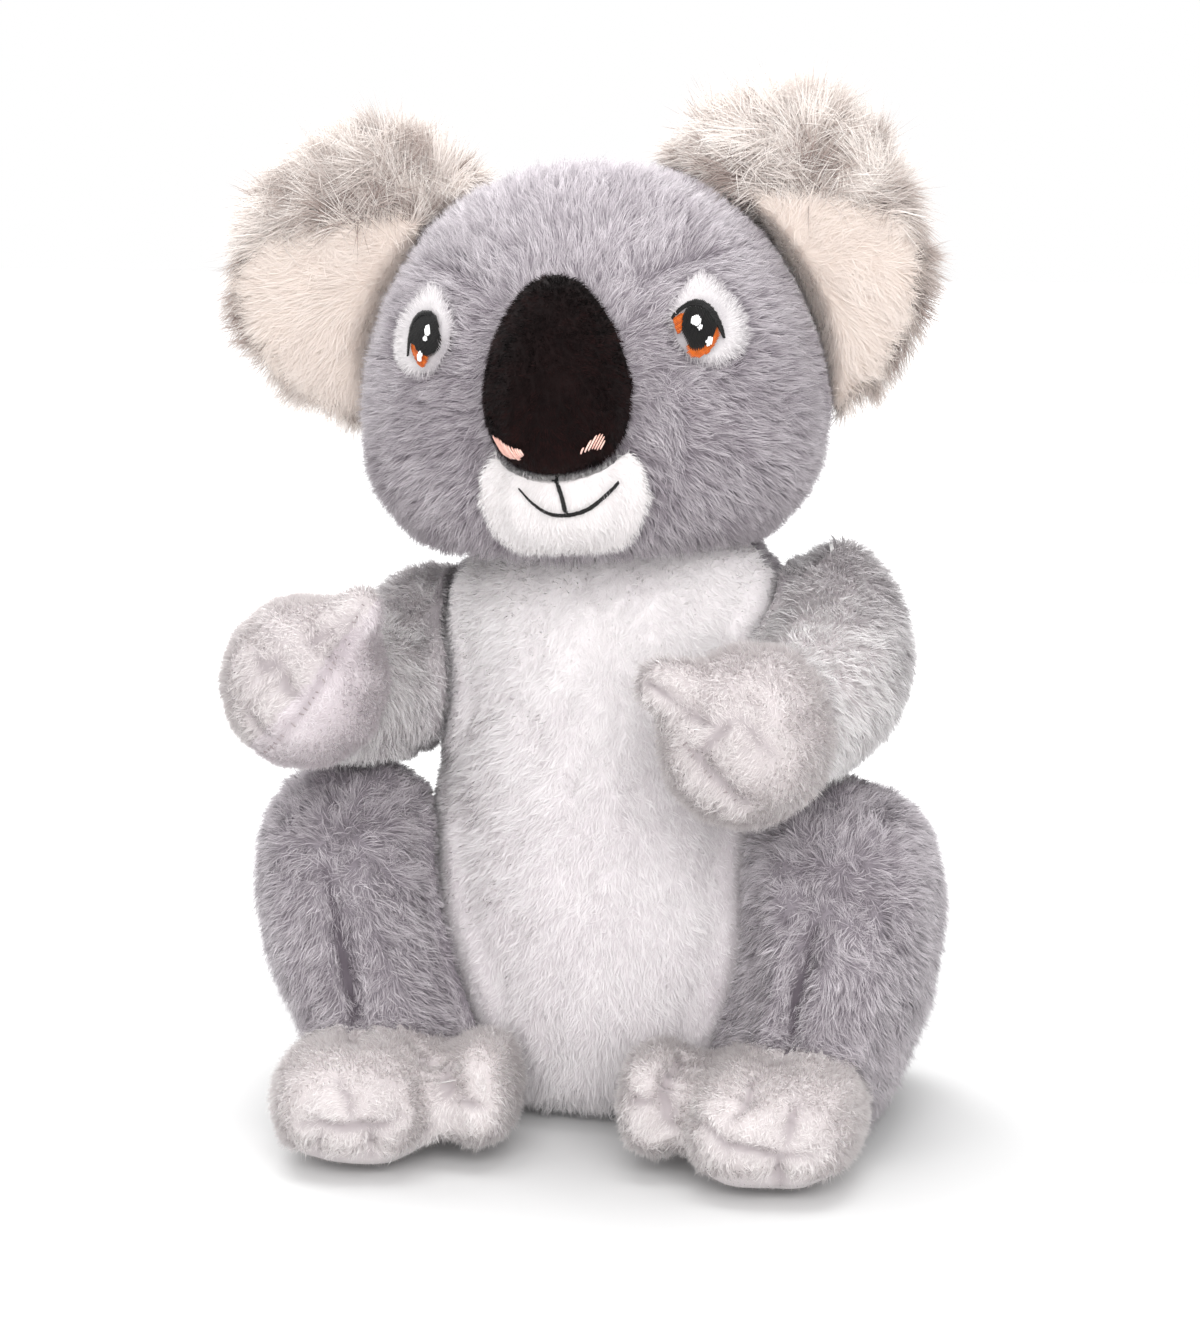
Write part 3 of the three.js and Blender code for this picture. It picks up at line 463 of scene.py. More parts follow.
def strands(skin, quads, pile, comb, seed, curved, bare, lighter):
    """Strands that stand on a patch: points of each ribbon, how light it is and its shading normal. A curved
    ribbon has five points, and a straight one three: its two roots and its tip."""
    draw = np.random.default_rng(seed)
    density = pile["curved" if curved else "straight"] / mm ** 2 * 1
    found = scatter(skin, quads, density, draw)
    kept = (bare(found[0]) < 0.5) & (found[3][:, 0] < pile["reach"])
    root, out, contact, shut, parting = [values[kept] for values in found]
    count = len(root)
    # Along the cloth: combed, parted at a crease, wavy, and each strand a little its own way
    along = comb(root, out) + 1.6 * parting + 0.45 * wave_vectors(root, 15 * mm, seed)
    along = along + 0.2 * draw.normal(size=(count, 3))
    along = unit(along - out * dot(along, out))
    # How far it leans, in degrees from upright, below and above its bend
    lean = pile["lean"] + 8 * waves(root, 9 * mm, seed + 5) + 7 * draw.normal(size=count)
    lean = np.radians(np.clip(lean, 5, 80))[:, None]
    bent = np.minimum(lean + math.radians(pile["bend"]), math.radians(86))
    first = out * np.cos(lean) + along * np.sin(lean)
    second = out * np.cos(bent) + along * np.sin(bent)
    # Its length, shorter against another body and in a crease
    length = pile["length"] * mm * (0.7 + 0.4 * draw.uniform(size=(count, 1)))
    length = length * (1 - 0.6 * contact) * (1 - 0.5 * shut)
    # Its tuft: the strands close up on the middle of it, and swing the same way
    middle, shared = tufts(root, pile["tuft"] * mm, seed)
    inward = middle - root
    inward = inward - out * dot(inward, out)
    swing = shared * 2 - 1
    swing = (swing - out * dot(swing, out)) * pile["swing"]
    length = length * (0.88 + 0.24 * shared[:, [0]])
    # Its bend, its tip, and its root just below the cloth
    joint = root + 0.45 * length * unit(first + 0.6 * swing) + inward * pile["gather"] * 0.3
    tip = joint + 0.55 * length * unit(second + swing) + inward * pile["gather"] * 0.6
    tip = tip - up * length * pile["droop"]
    root = root - out * 0.4 * mm
    # Its flat face, turned about itself at random
    direction = unit(tip - root)
    side = unit(np.cross(direction, out))
    flat = unit(np.cross(side, direction))
    twist = draw.uniform(-1, 1, (count, 1)) * math.radians(55)
    side = side * np.cos(twist) + flat * np.sin(twist)
    face = unit(np.cross(side, direction))
    half = side * pile["width"] * mm / 2 * draw.uniform(0.7, 1.3, (count, 1))
    if curved:
        points = np.stack([root - half, root + half, joint + half * 0.85, joint - half * 0.85, tip], axis=1)
    else:
        points = np.stack([root - half, root + half, tip], axis=1)
    # It is shaded partly as the cloth and partly by itself; against a body and in a crease its tone is painted
    # darker, as painted shade
    facing = unit(out * (1.1 - pile["crisp"]) + face * pile["crisp"] + 0.12 * draw.normal(size=(count, 3)))
    tone = tones(root, pile, seed) + lighter(root)
    tone = tone + pile["streak"] * (shared[:, 1] - 0.5) + 0.11 * draw.normal(size=count)
    tone = np.clip(tone - 0.25 * contact[:, 0] - 0.5 * shut[:, 0], 0.02, 0.98)
    points[..., 2] = np.maximum(points[..., 2], floor_gap)
    return points, tone, facing


def ribbons(skin, quads, pile, comb, seed, bare, lighter):
    """Both kinds of strand as points, quads, triangles, UV places and normals"""
    long_points, long_tone, long_facing = strands(skin, quads, pile, comb, seed, True, bare, lighter)
    short_points, short_tone, short_facing = strands(skin, quads, pile, comb, seed + 3, False, bare, lighter)
    points = np.concatenate([long_points.reshape(-1, 3), short_points.reshape(-1, 3)])
    first = np.arange(len(long_points))[:, None] * 5
    second = np.arange(len(short_points))[:, None] * 3 + len(long_points) * 5
    triangles = np.concatenate([first + [3, 2, 4], second + [0, 1, 2]])
    uv = np.zeros((len(points), 2))
    split = len(long_points) * 5
    uv[:split, 0] = np.repeat(long_tone, 5)
    uv[split:, 0] = np.repeat(short_tone, 3)
    uv[:split, 1] = np.tile([0.02, 0.02, 0.5, 0.5, 0.98], len(long_points))
    uv[split:, 1] = np.tile([0.02, 0.02, 0.98], len(short_points))
    normals = np.concatenate([np.repeat(long_facing, 5, axis=0), np.repeat(short_facing, 3, axis=0)])
    return points, first + [0, 1, 2, 3], triangles, uv, normals


def tones(points, pile, seed):
    """How light the pile is, from 0 to 1, with cloudy patches of three sizes"""
    return (pile["tone"] + pile["mottle"] * (0.5 * waves(points, 26 * mm, seed + 11)
            + 0.4 * waves(points, 9 * mm, seed + 12) + 0.25 * waves(points, 4 * mm, seed + 13)))


def mesh_from(name, points, quads, triangles, uv, normals, material):
    """A mesh of quads and triangles with UV places and shading normals for each vertex"""
    mesh = bpy.data.meshes.new(name)
    corners = np.concatenate([quads.ravel(), triangles.ravel()]).astype(np.int32)
    starts = np.concatenate([np.arange(len(quads)) * 4, len(quads) * 4 + np.arange(len(triangles)) * 3])
    mesh.vertices.add(len(points))
    mesh.vertices.foreach_set("co", points.astype(np.float32).ravel())
    mesh.loops.add(len(corners))
    mesh.loops.foreach_set("vertex_index", corners)
    mesh.polygons.add(len(starts))
    mesh.polygons.foreach_set("loop_start", starts.astype(np.int32))
    mesh.update(calc_edges=True)
    layer = mesh.uv_layers.new(name="OFBake")
    layer.uv.foreach_set("vector", uv[corners].astype(np.float32).ravel())
    mesh.polygons.foreach_set("use_smooth", np.ones(len(starts), bool))
    mesh.normals_split_custom_set_from_vertices(normals.tolist())
    mesh.materials.append(material)
    piece = bpy.data.objects.new(name, mesh)
    bpy.context.scene.collection.objects.link(piece)
    return piece


def nothing(points):
    """No bare places, or no change of tone"""
    return np.zeros(len(points))


def furred(skin, cover, pile, comb, material, seed, bare=nothing, lighter=nothing):
    """A cover: its share of the skin and the pile on it, as one piece. bare is 1 where no pile stands, and
    lighter is added to the pile's tone."""
    used, quads = patch_of(skin, cover)
    share = skin.quads[skin.quad_cover == skin.covers.index(cover)]
    ground = skin.points[used]
    # Painted shade: the cloth's tone is darker against another body and in a crease
    tone = tones(ground, pile, seed) + lighter(ground) - 0.25 * skin.contact[used] - skin.shut[used]
    tone = np.clip(tone, 0.02, 0.98)
    ground_uv = np.stack([tone, np.full(len(tone), 0.1)], axis=1)
    points, fours, threes, uv, normals = ribbons(skin, share, pile, comb, seed, bare, lighter)
    start = len(ground)
    piece = mesh_from(
        cover + "_pile", np.concatenate([ground, points]), np.concatenate([quads, fours + start]),
        threes + start, np.concatenate([ground_uv, uv]), np.concatenate([skin.normals[used], normals]),
        material)
    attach(piece, skin.body)
    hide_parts(cover)


def middle_of(node):
    """The middle of a CAD node's box"""
    low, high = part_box(node)
    return np.array((low + high) / 2)


def comb_down(points, out):
    """The pile lies downwards"""
    return np.tile(-up, (len(points), 1))


def comb_from(place, fall=0.0, back=0.0):
    """Away from a place, with some fall and some backward lay"""
    lay = np.array([0, back, -fall])
    return lambda points, out: unit(points - place) + lay


def comb_along(way):
    """The pile lies along one direction"""
    return lambda points, out: np.tile(way, (len(points), 1))


make_camera()
# Creases and puckered seams, each as its line on the photograph, its width and its depth: the folds beside
# the eyes, over the brows and in the cheek, the seams and dimples of the hands, the shins' folds and the toes
creases = {
    "head": [
        ([(391, 328), (385, 348), (388, 372)], 4.0, 2.2),
        ([(752, 336), (752, 356), (744, 374)], 4.0, 1.6),
        ([(410, 256), (440, 262), (468, 278), (486, 300)], 5.0, 1.9),
        ([(736, 238), (706, 248), (674, 258), (646, 274)], 5.0, 1.9),
        ([(690, 400), (694, 440), (688, 480)], 4.0, 1.2),
    ],
    "arm_right": [
        ([(366, 598), (352, 628), (336, 662), (312, 700), (288, 732), (262, 756)], 2.0, 2.4),
        ([(345, 622), (330, 628), (312, 640)], 2.2, 2.6),
        ([(248, 655), (260, 668), (274, 662)], 2.4, 3.2),
        ([(278, 670), (284, 690), (302, 702)], 2.4, 3.6),
        ([(346, 660), (354, 642), (346, 622)], 2.4, 2.8),
        ([(244, 720), (256, 738), (268, 748)], 2.4, 2.8),
    ],
    "arm_left": [
        ([(636, 680), (650, 690), (668, 704)], 2.4, 3.2),
        ([(682, 745), (700, 770), (722, 792), (748, 812)], 2.4, 3.2),
        ([(668, 704), (690, 716), (712, 728)], 2.6, 2.6),
        ([(694, 762), (704, 744), (728, 724)], 2.6, 2.6),
        ([(738, 716), (762, 740), (780, 758)], 2.6, 2.0),
    ],
    "leg_right": [
        ([(322, 870), (332, 905), (340, 950), (350, 1000), (354, 1036)], 2.4, 4.4),
        ([(296, 1128), (316, 1126), (340, 1133), (362, 1129), (384, 1130), (404, 1118)], 1.5, 3.0),
        ([(336, 1072), (344, 1096), (350, 1122)], 3.4, 2.6),
        ([(318, 1134), (314, 1150), (318, 1166)], 2.0, 4.6),
        ([(366, 1130), (368, 1146), (372, 1164)], 2.0, 4.6),
        ([(424, 1036), (440, 1062), (446, 1090), (438, 1128), (430, 1146)], 3.4, 6.0),
        ([(452, 1104), (468, 1108), (488, 1112)], 2.2, 3.0),
    ],
    "leg_left": [
        ([(806, 926), (798, 965), (784, 1005), (776, 1050)], 2.4, 5.0),
        ([(684, 1116), (704, 1130), (722, 1148), (748, 1154), (776, 1162), (816, 1158)], 1.5, 3.0),
        ([(752, 1066), (748, 1090), (728, 1120)], 3.4, 4.2),
        ([(800, 1094), (792, 1122), (786, 1150)], 3.0, 3.4),
        ([(776, 1160), (778, 1178), (780, 1192)], 2.4, 4.4),
        ([(690, 1046), (672, 1068), (662, 1098), (664, 1130), (676, 1150)], 3.4, 6.0),
        ([(620, 1100), (636, 1104), (652, 1104)], 2.2, 3.0),
    ],
}
# Each skin: its covers with their pile's depth, its inner nodes, its voxel size and its rounds of rounding
skins = {}
skins["torso"] = make_skin("torso", {"belly_panel": 2.8, "back_panel": 3.6}, ["torso_filling"], 2, 36)
skins["head"] = make_skin("head", {"face_panel": 3.6, "head_back_panel": 3.6}, ["head_filling"], 2, 36,
                          creases["head"])
skins["muzzle"] = make_skin("head", {"muzzle": 1.5}, [], 1, 20)
skins["nose"] = make_skin("head", {"nose": 0.8}, [], 1, 30)
for side in sides:
    ear, arm, leg = "ear_" + side, "arm_" + side, "leg_" + side
    skins[ear] = make_skin(ear, {"ear_front_" + side: 2, "ear_back_" + side: 4}, [], 1.6, 25,
                           behind="ear_back_" + side)
    skins[arm] = make_skin(arm, {"arm_cover_" + side: 3.6, "paw_cover_" + side: 1.8, "palm_" + side: 1.5},
                           ["arm_filling_" + side], 1.5, 20, creases[arm])
    skins[leg] = make_skin(leg, {"leg_cover_" + side: 3.6, "foot_cover_" + side: 2.0, "sole_" + side: 0.5},
                           ["leg_filling_" + side], 1.4, 20, creases[leg])

# Each fabric: the root and tip colour of its darkest strands, then of its lightest
# Long grey pile of the body, with dark lilac-grey roots and frosted tips
grey_plush = pile_material("grey_plush", ("#5E565E", "#ACA3AA"), ("#A9A1A8", "#FEF9FC"))
# The sleeves' pile: body grey at the shoulder, and lifted nearly to white at the wrist as painted light
sleeve_plush = pile_material("sleeve_plush", ("#6A6268", "#C4BCC0"), ("#D6CED0", "#FFFFFE"))
# White pile of the chest and belly, faintly lilac between its tufts
white_plush = pile_material("white_plush", ("#CFC7CB", "#F2EEEF"), ("#F4F0F1", "#FCFAFA"), through=0.2)
# Short dense pile of hands and feet, warm white over greyish roots that show in the creases
paw_plush = pile_material("paw_plush", ("#A59C9F", "#EFE8E7"), ("#E6DFDF", "#FFFDFC"))
# Sheared pile of the image-left palm, smooth and a little cooler than the hand's back
palm_minky = pile_material("palm_minky", ("#B5ABB0", "#E9E2E4"), ("#E4DCDF", "#FDF9FB"))
# Long ear hair, brown in its depth and cream at its ends, so that it looks streaked
ear_plush = pile_material("ear_plush", ("#6B5C57", "#B3A29B"), ("#E2D6CF", "#FFFCF9"))
# The ears' lining, a flat even cream
ear_minky = pile_material("ear_minky", ("#D8CAC1", "#F0E5DE"), ("#ECE1D9", "#FBF4EF"), through=0.25)
# The eye patches, white inside, with grey for the painted shade under the face's pile at their edge
patch_minky = pile_material("patch_minky", ("#8D868C", "#BDB6BA"), ("#DDD9DA", "#F6F3F3"), through=0.2)
# The muzzle, the cleanest white of the toy
muzzle_minky = pile_material("muzzle_minky", ("#DFD9D9", "#F3F0F0"), ("#F0ECEC", "#FBF9F9"), through=0.2)
# The nose's velour, a brownish black with hardly any light on it
nose_velour = pile_material("nose_velour", ("#040000", "#0E0304"), ("#0D0404", "#2C1413"), sheen=0.02,
                            through=0)
# Threads: pupils, lids and mouth in glossy black, irises in burnt orange, glints in glossy white
black_thread = thread_material("black_thread", "#020202", "#0E0C0C")
amber_thread = thread_material("amber_thread", "#8F3A0A", "#C9641C")
white_thread = thread_material("white_thread", "#E2E0E0", "#FFFFFF")
# Duller threads: the nostrils in salmon pink, and the palms' seams in grey that just shows between the tufts
pink_thread = thread_material("pink_thread", "#D9A294", "#F5CFC4", 0.5)
seam_thread = thread_material("seam_thread", "#7E7475", "#A39999", 0.6)
filling_fibre = fibre_material("filling_fibre")
fibre_depth, fibre_unevenness = 1.9, 0.25       # mm from the backing cloth to the filling
fibre_share = 0.12                              # of a form's thickness, the most that the filling draws back
fibre_spare = 0.7                               # of that depth, the least that a sound point keeps


def stuffed(node, skin):
    """The loose filling: it fills the body to just under its backing cloth, and draws back from thin edges.
    Points that end up too near the cloth or outside it are drawn on to their sound neighbours."""
    deep = (fibre_depth + fibre_unevenness * waves(skin.points, 5 * mm, 7)) * mm
    deep = np.minimum(deep, fibre_share * skin.thick)
    inner = skin.points - skin.normals * deep[:, None]
    cloth = tree_from(skin.points, skin.quads)
    found = [cloth.find_nearest(Vector(p)) for p in inner]
    depth = np.array([(hit[0] - Vector(p)).dot(hit[1]) for hit, p in zip(found, inner)])
    sound = depth > fibre_spare * deep
    a, b = skin.edges[:, 0], skin.edges[:, 1]
    while not sound.all():
        weight = sound.astype(float)
        count = np.bincount(a, weight[b], len(inner)) + np.bincount(b, weight[a], len(inner))
        reached = ~sound & (count > 0)
        if not reached.any():
            break
        for k in range(3):
            total = (np.bincount(a, weight[b] * inner[b, k], len(inner))
                     + np.bincount(b, weight[a] * inner[a, k], len(inner)))
            inner[reached, k] = total[reached] / count[reached]
        sound = sound | reached
    piece = plain_object(node + "_fibre", inner, skin.quads, filling_fibre)
    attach(piece, skin.body)
    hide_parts(node)


stuffed("torso_filling", skins["torso"])
stuffed("head_filling", skins["head"])
for side in sides:
    stuffed("arm_filling_" + side, skins["arm_" + side])
    stuffed("leg_filling_" + side, skins["leg_" + side])

# Kinds of pile. length, width and tuft are in mm, curved and straight are strands to a square mm, lean and
# bend are degrees. gather draws a tuft's tips together, swing turns the whole tuft and droop lets it hang.
# reach is how deep into a crease strands still stand, and crisp how far each is shaded by itself. tone is how
# light the pile is, mottle how cloudy, and streak how unlike its tufts are.
body_pile = dict(
    length=5.0, width=0.19, curved=1.4, straight=4.4, lean=34, bend=26, tuft=2.1, gather=0.6, swing=0.42,
    droop=0.03, reach=0.62, crisp=0.3, tone=0.5, mottle=0.16, streak=0.5)
belly_pile = dict(body_pile, length=4.2, width=0.2, curved=1.05, straight=4.9, lean=28, bend=24, tuft=1.9,
                  tone=0.6, mottle=0.2, gather=0.55, swing=0.45, streak=0.4)
back_pile = dict(body_pile, curved=1.1, straight=3.4)
leg_pile = dict(body_pile, straight=4.1, tone=0.52)
short_pile = dict(body_pile, length=3.2, width=0.18, curved=1.3, straight=5.5, lean=36, bend=22, tuft=1.8,
                  gather=0.5, swing=0.35, droop=0.02, tone=0.55, streak=0.3)
# Painted light: the feet's pile is set lighter than the hands', where the lamps reach them less
foot_pile = dict(short_pile, tone=0.74)
minky_pile = dict(short_pile, length=2.5, width=0.17, straight=6.5, lean=42, tuft=1.6, swing=0.2,
                  mottle=0.08, streak=0.15)
sole_pile = dict(minky_pile, length=1, curved=0.2, straight=1)
patch_pile = dict(minky_pile, length=2.3, lean=48, tone=0.88)
palm_pile = dict(short_pile, length=2.6, lean=42, swing=0.25, streak=0.2)
velour_pile = dict(body_pile, length=1.6, width=0.2, curved=0.4, straight=9, lean=40, bend=15, tuft=2.2,
                   gather=0.4, swing=0.4, droop=0, tone=0.4, mottle=0.3)
ear_pile = dict(body_pile, length=13, width=0.22, curved=3.6, straight=2.5, lean=58, bend=22, tuft=5.5,
                gather=0.62, swing=0.24, droop=0.02, crisp=0.75, mottle=0.28, streak=1.1)
lining_pile = dict(short_pile, length=7, lean=62, bend=16, tuft=3, reach=0.95, tone=0.6, mottle=0.08)

# Embroidery. Shapes are drawn in mm across and up from a node's middle, and lie on what carries them.
eye_middles = {side: middle_of("eye_iris_" + side) for side in sides}
outwards = {"left": 1, "right": -1}         # the way of a drawing that is mirrored from eye to eye
face_across = unit(eye_middles["left"] - eye_middles["right"])
face_up = unit(up - face_across * np.sum(up * face_across))
face_out = np.cross(face_across, face_up)


def laid(place, flat, tree, lift):
    """Points of a drawing, dropped from in front of the face on to a form and lifted off it"""
    before = face_out * 40 * mm     # well clear of the face
    points = []
    for across, rise in flat:
        start = place + (face_across * across + face_up * rise) * mm + before
        hit = tree.ray_cast(Vector(start), Vector(-face_out))
        if hit[0] is None:
            hit = tree.find_nearest(Vector(start - before))
        points.append(np.array(hit[0]) + np.array(hit[1]) * lift)
    return np.array(points)


def turning(degrees):
    """The matrix that turns a flat drawing anticlockwise"""
    turn = math.radians(degrees)
    return np.array([[math.cos(turn), math.sin(turn)], [-math.sin(turn), math.cos(turn)]])


def oval(across, rise, half_width, half_height, lean=0.0, count=28):
    """An oval outline, turned by lean degrees"""
    angles = np.arange(count) / count * 2 * math.pi
    flat = np.stack([np.cos(angles) * half_width, np.sin(angles) * half_height], axis=1)
    return flat @ turning(lean) + [across, rise]


def satin(outline, angle, draw, pitch=0.36, ragged=0.2):
    """Threads side by side that fill an outline: the two ends of each, a little uneven"""
    level_turn = turning(-angle)
    flat = np.asarray(outline) @ level_turn
    ends = []
    for level in np.arange(flat[:, 1].min() + pitch / 3, flat[:, 1].max(), pitch):
        crossings = []
        for a, b in zip(flat, np.roll(flat, -1, axis=0)):
            if (a[1] > level) != (b[1] > level):
                crossings.append(a[0] + (b[0] - a[0]) * (level - a[1]) / (b[1] - a[1]))
        crossings.sort()
        for low, high in zip(crossings[::2], crossings[1::2]):
            low, high = low - draw.uniform(0, ragged), high + draw.uniform(0, ragged)
            ends.append(((low, level), (high, level)))
    return np.array(ends) @ level_turn.T


def column(path, widths, slant, draw, pitch=0.34):
    """A line of short threads laid side by side across a path"""
    path = np.asarray(path, float)
    steps = np.linalg.norm(np.diff(path, axis=0), axis=1)
    reach = np.concatenate([[0], np.cumsum(steps)])
    marks = np.arange(0, reach[-1], pitch)
    places = np.stack([np.interp(marks, reach, path[:, k]) for k in range(2)], axis=1)
    ways = unit(np.gradient(places, axis=0))
    across = ways @ turning(slant)
    half = np.interp(marks, np.linspace(0, reach[-1], len(widths)), widths)[:, None] / 2
    half = half * draw.uniform(0.85, 1.15, (len(marks), 1))
    return np.stack([places - across * half, places + across * half], axis=1)


def smooth_line(points, count=40):
    """A curve through a few points"""
    points = np.asarray(points, float)
    padded = np.concatenate([[2 * points[0] - points[1]], points, [2 * points[-1] - points[-2]]])
    out = []
    for t in np.linspace(0, len(points) - 1.0001, count):
        i = int(t)
        f = t - i
        a, b, c, d = padded[i:i + 4]
        square, cube = 2 * a - 5 * b + 4 * c - d, 3 * b - a - 3 * c + d
        out.append(0.5 * (2 * b + (c - a) * f + square * f ** 2 + cube * f ** 3))
    return np.array(out)


# Where the points along a thread lie, and how thick it is at each
thread_shares = np.array([0, 0.08, 0.3, 0.5, 0.7, 0.92, 1])
thread_swell = np.array([0.3, 0.85, 1, 1, 1, 0.85, 0.3])
thread_sides = 6            # two quads close each end of such a thread


def along_threads(ends):
    """The points of each thread, from its two ends"""
    return ends[:, [0]] * (1 - thread_shares[:, None]) + ends[:, [1]] * thread_shares[:, None]


def threads(name, body, material, lines, out, thick, draw):
    """Short threads as one piece, each a little wider than it is high and closed at its ends"""
    way = unit(np.gradient(lines, axis=1))
    side = unit(np.cross(way, out))
    top = np.cross(side, way)
    n = thread_sides
    angles = (np.arange(n) / n * 2 * math.pi)[:, None]
    ring = side[:, :, None] * np.cos(angles) * 1.1 + top[:, :, None] * np.sin(angles) * 0.8
    ring = ring * thread_swell[:, None, None] * thick * mm / 2
    points = (lines[:, :, None] + ring).reshape(-1, 3)
    normals = unit(ring).reshape(-1, 3)
    count, steps = len(lines), len(thread_shares)
    first = (np.arange(count)[:, None] * steps + np.arange(steps - 1)).ravel()[:, None] * n
    quads = [first + np.array([k + n, (k + 1) % n + n, (k + 1) % n, k]) for k in range(n)]
    start = np.arange(count)[:, None] * steps * n
    last = start + (steps - 1) * n
    quads += [start + [0, 1, 2, 3], start + [0, 3, 4, 5], last + [3, 2, 1, 0], last + [5, 4, 3, 0]]
    tone = np.repeat(draw.uniform(0, 0.65, count), steps * n)
    uv = np.stack([tone, np.tile(np.repeat(thread_shares, n), count) * 0.98 + 0.01], axis=1)
    piece = mesh_from(name, points, np.concatenate(quads), np.zeros((0, 3), int), uv, normals, material)
    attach(piece, body)
    return piece


def stitched(node, material, place, ends, carrier, lift, thick=0.42, plump=0.25, seed=1):
    """Embroidery on the head in place of a node. ends are the two ends of each thread, lift how far they lie
    off their carrier, thick their thickness and plump how far they arch, all in mm."""
    draw = np.random.default_rng(seed)
    rise = np.sin(thread_shares * math.pi) ** 0.6 * plump - 0.35 * (thread_swell < 0.5)
    flat = along_threads(ends).reshape(-1, 2)
    lines = laid(place, flat, carrier, lift * mm).reshape(len(ends), len(thread_shares), 3)
    lines = lines + face_out * (rise[:, None] + draw.uniform(-0.05, 0.05, (len(ends), 1, 1))) * mm
    piece = threads(node + "_threads", "head", material, lines, face_out, thick, draw)
    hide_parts(node)


def seam(name, body, nodes, pixels, seed):
    """The hand stitches that close a puckered seam, drawn down between the tufts"""
    draw = np.random.default_rng(seed)
    line = seen_on(nodes, pixels)[::2]
    line = line[draw.uniform(size=len(line)) < 0.6]
    tree = tree_of(nodes)
    out = np.array([np.array(tree.find_nearest(Vector(p))[1]) for p in line])
    way = unit(np.gradient(line, axis=0))
    across = unit(np.cross(way, out)) + way * draw.uniform(-0.5, 0.5, (len(line), 1))
    half = draw.uniform(0.3, 0.8, (len(line), 1)) * mm
    ends = np.stack([line - across * half, line + across * half], axis=1) - out[:, None] * mm
    threads(name, body, seam_thread, along_threads(ends), out[:, None], 0.34, draw)


# The white patch behind an eye, from its upper point round by the outer side
patch_outline = smooth_line(
    [(-0.5, 12.4), (2.3, 10.8), (4.8, 8.2), (7.6, 4.9), (9.6, 0.5), (10.1, -3.9), (7.9, -7.8), (3.5, -9.3),
     (-1.8, -8.0), (-4.8, -4.8), (-6.5, -1.0), (-7.1, 2.4), (-6.3, 5.9), (-4.7, 8.8), (-2.9, 11.2),
     (-0.5, 12.4)], 60)[:-1]
# The embroidered eyes, a little unlike each other, outwards and up from the middle of each
pupil_outlines = {
    "left": [(-2.0, 5.1), (0.1, 4.4), (1.9, 2.8), (3.2, 0.6), (2.8, -1.1), (1.9, -3.3), (0.6, -4.8),
             (-1.0, -5.5), (-2.5, -5.1), (-3.6, -3.0), (-4.4, -0.8), (-4.4, 1.4), (-3.6, 3.9), (-2.0, 5.1)],
    "right": [(-2.3, 5.8), (0.2, 5.2), (2.0, 4.1), (3.1, 2.2), (3.5, 0), (3.3, -1.4), (2.4, -1.8),
              (1.3, -3.3), (-0.3, -4.3), (-2.3, -4.4), (-3.9, -3.6), (-5.0, -1.7), (-5.0, 0.5), (-4.4, 3.3),
              (-3.7, 5.0), (-2.3, 5.8)]}
lid_lines = {
    "left": [(-6.3, 2.4), (-4.9, 4.1), (-2.3, 5.4), (0.1, 4.8), (2.2, 2.6), (3.7, -0.3), (4.7, -3.2)],
    "right": [(-2.6, 5.5), (0.2, 5.4), (2.0, 4.2), (3.1, 2.2), (3.7, -0.6), (4.0, -4.6)]}
lid_widths = {"left": (0.6, 1.2, 1.6, 1.8, 1.6, 1.2, 0.5), "right": (1.2, 1.3, 1.1, 0.9, 0.8, 0.5)}
iris_outlines = {
    "left": [(-3.1, -5.8), (-2.3, -6.8), (-0.5, -7.0), (1.4, -6.1), (2.9, -4.4), (4.0, -2.2), (3.8, -0.6),
             (2.4, 1.4), (-1.0, -2.0), (-3.4, -4.2)],
    "right": [(3.5, -0.6), (1.0, -0.6), (-1.5, -3.4), (-1.4, -5.4), (-0.1, -6.9), (1.3, -6.1), (2.7, -4.4),
              (3.6, -2.6)]}
inner_corner = [(-6.1, 2.2), (-4.9, 3.2), (-2.6, 3.5), (-3.5, 0.8), (-4.9, -1.2), (-5.7, 0.2)]
# Each glint is an oval: across, up, half width, half height and lean
glints = {
    "left": [(-1.6, 1.2, 1.05, 1.2, 0), (-0.7, -0.4, 0.4, 0.65, -25), (1.3, -3.8, 0.6, 1.1, -15)],
    "right": [(-1.9, 1.4, 0.75, 1.3, 0), (-1.2, -0.5, 0.45, 0.6, -25), (0.2, -4.5, 0.6, 1.0, 0)]}


def inside(outline, flat):
    """How deep each point lies inside an outline, in the outline's unit, and below 0 outside"""
    within = np.zeros(len(flat), bool)
    nearest = np.full(len(flat), 1e9)
    for start, end in zip(outline, np.roll(outline, -1, axis=0)):
        way = end - start
        share = np.clip(((flat - start) @ way) / (way @ way), 0, 1)
        nearest = np.minimum(nearest, np.linalg.norm(flat - start - share[:, None] * way, axis=1))
        crosses = (start[1] > flat[:, 1]) != (end[1] > flat[:, 1])
        rise = way[1] if abs(way[1]) > 1e-9 else 1e-9
        within ^= crosses & (flat[:, 0] < start[0] + way[0] * (flat[:, 1] - start[1]) / rise)
    return np.where(within, nearest, -nearest)


def on_patch(points, side):
    """How deep inside an eye's patch points lie, in mm"""
    offset = (points - eye_middles[side]) / mm
    flat = np.stack([offset @ face_across * outwards[side], offset @ face_up], axis=1)
    deep = inside(patch_outline, flat)
    deep[offset @ face_out < -25] = -99     # the back of the head
    return deep


def eye_openings(points):
    """1 where the grey pile of the face leaves room for an eye's patch, the nose or the muzzle"""
    open_share = np.zeros(len(points))
    for side in sides:
        open_share[on_patch(points, side) > 1.1 + 0.7 * waves(points, 1.5 * mm, 77)] = 1
    near = distances(tree_of(["nose", "muzzle"]), points, 20 * mm)
    open_share[near < 0.4 * mm] = 1
    return open_share


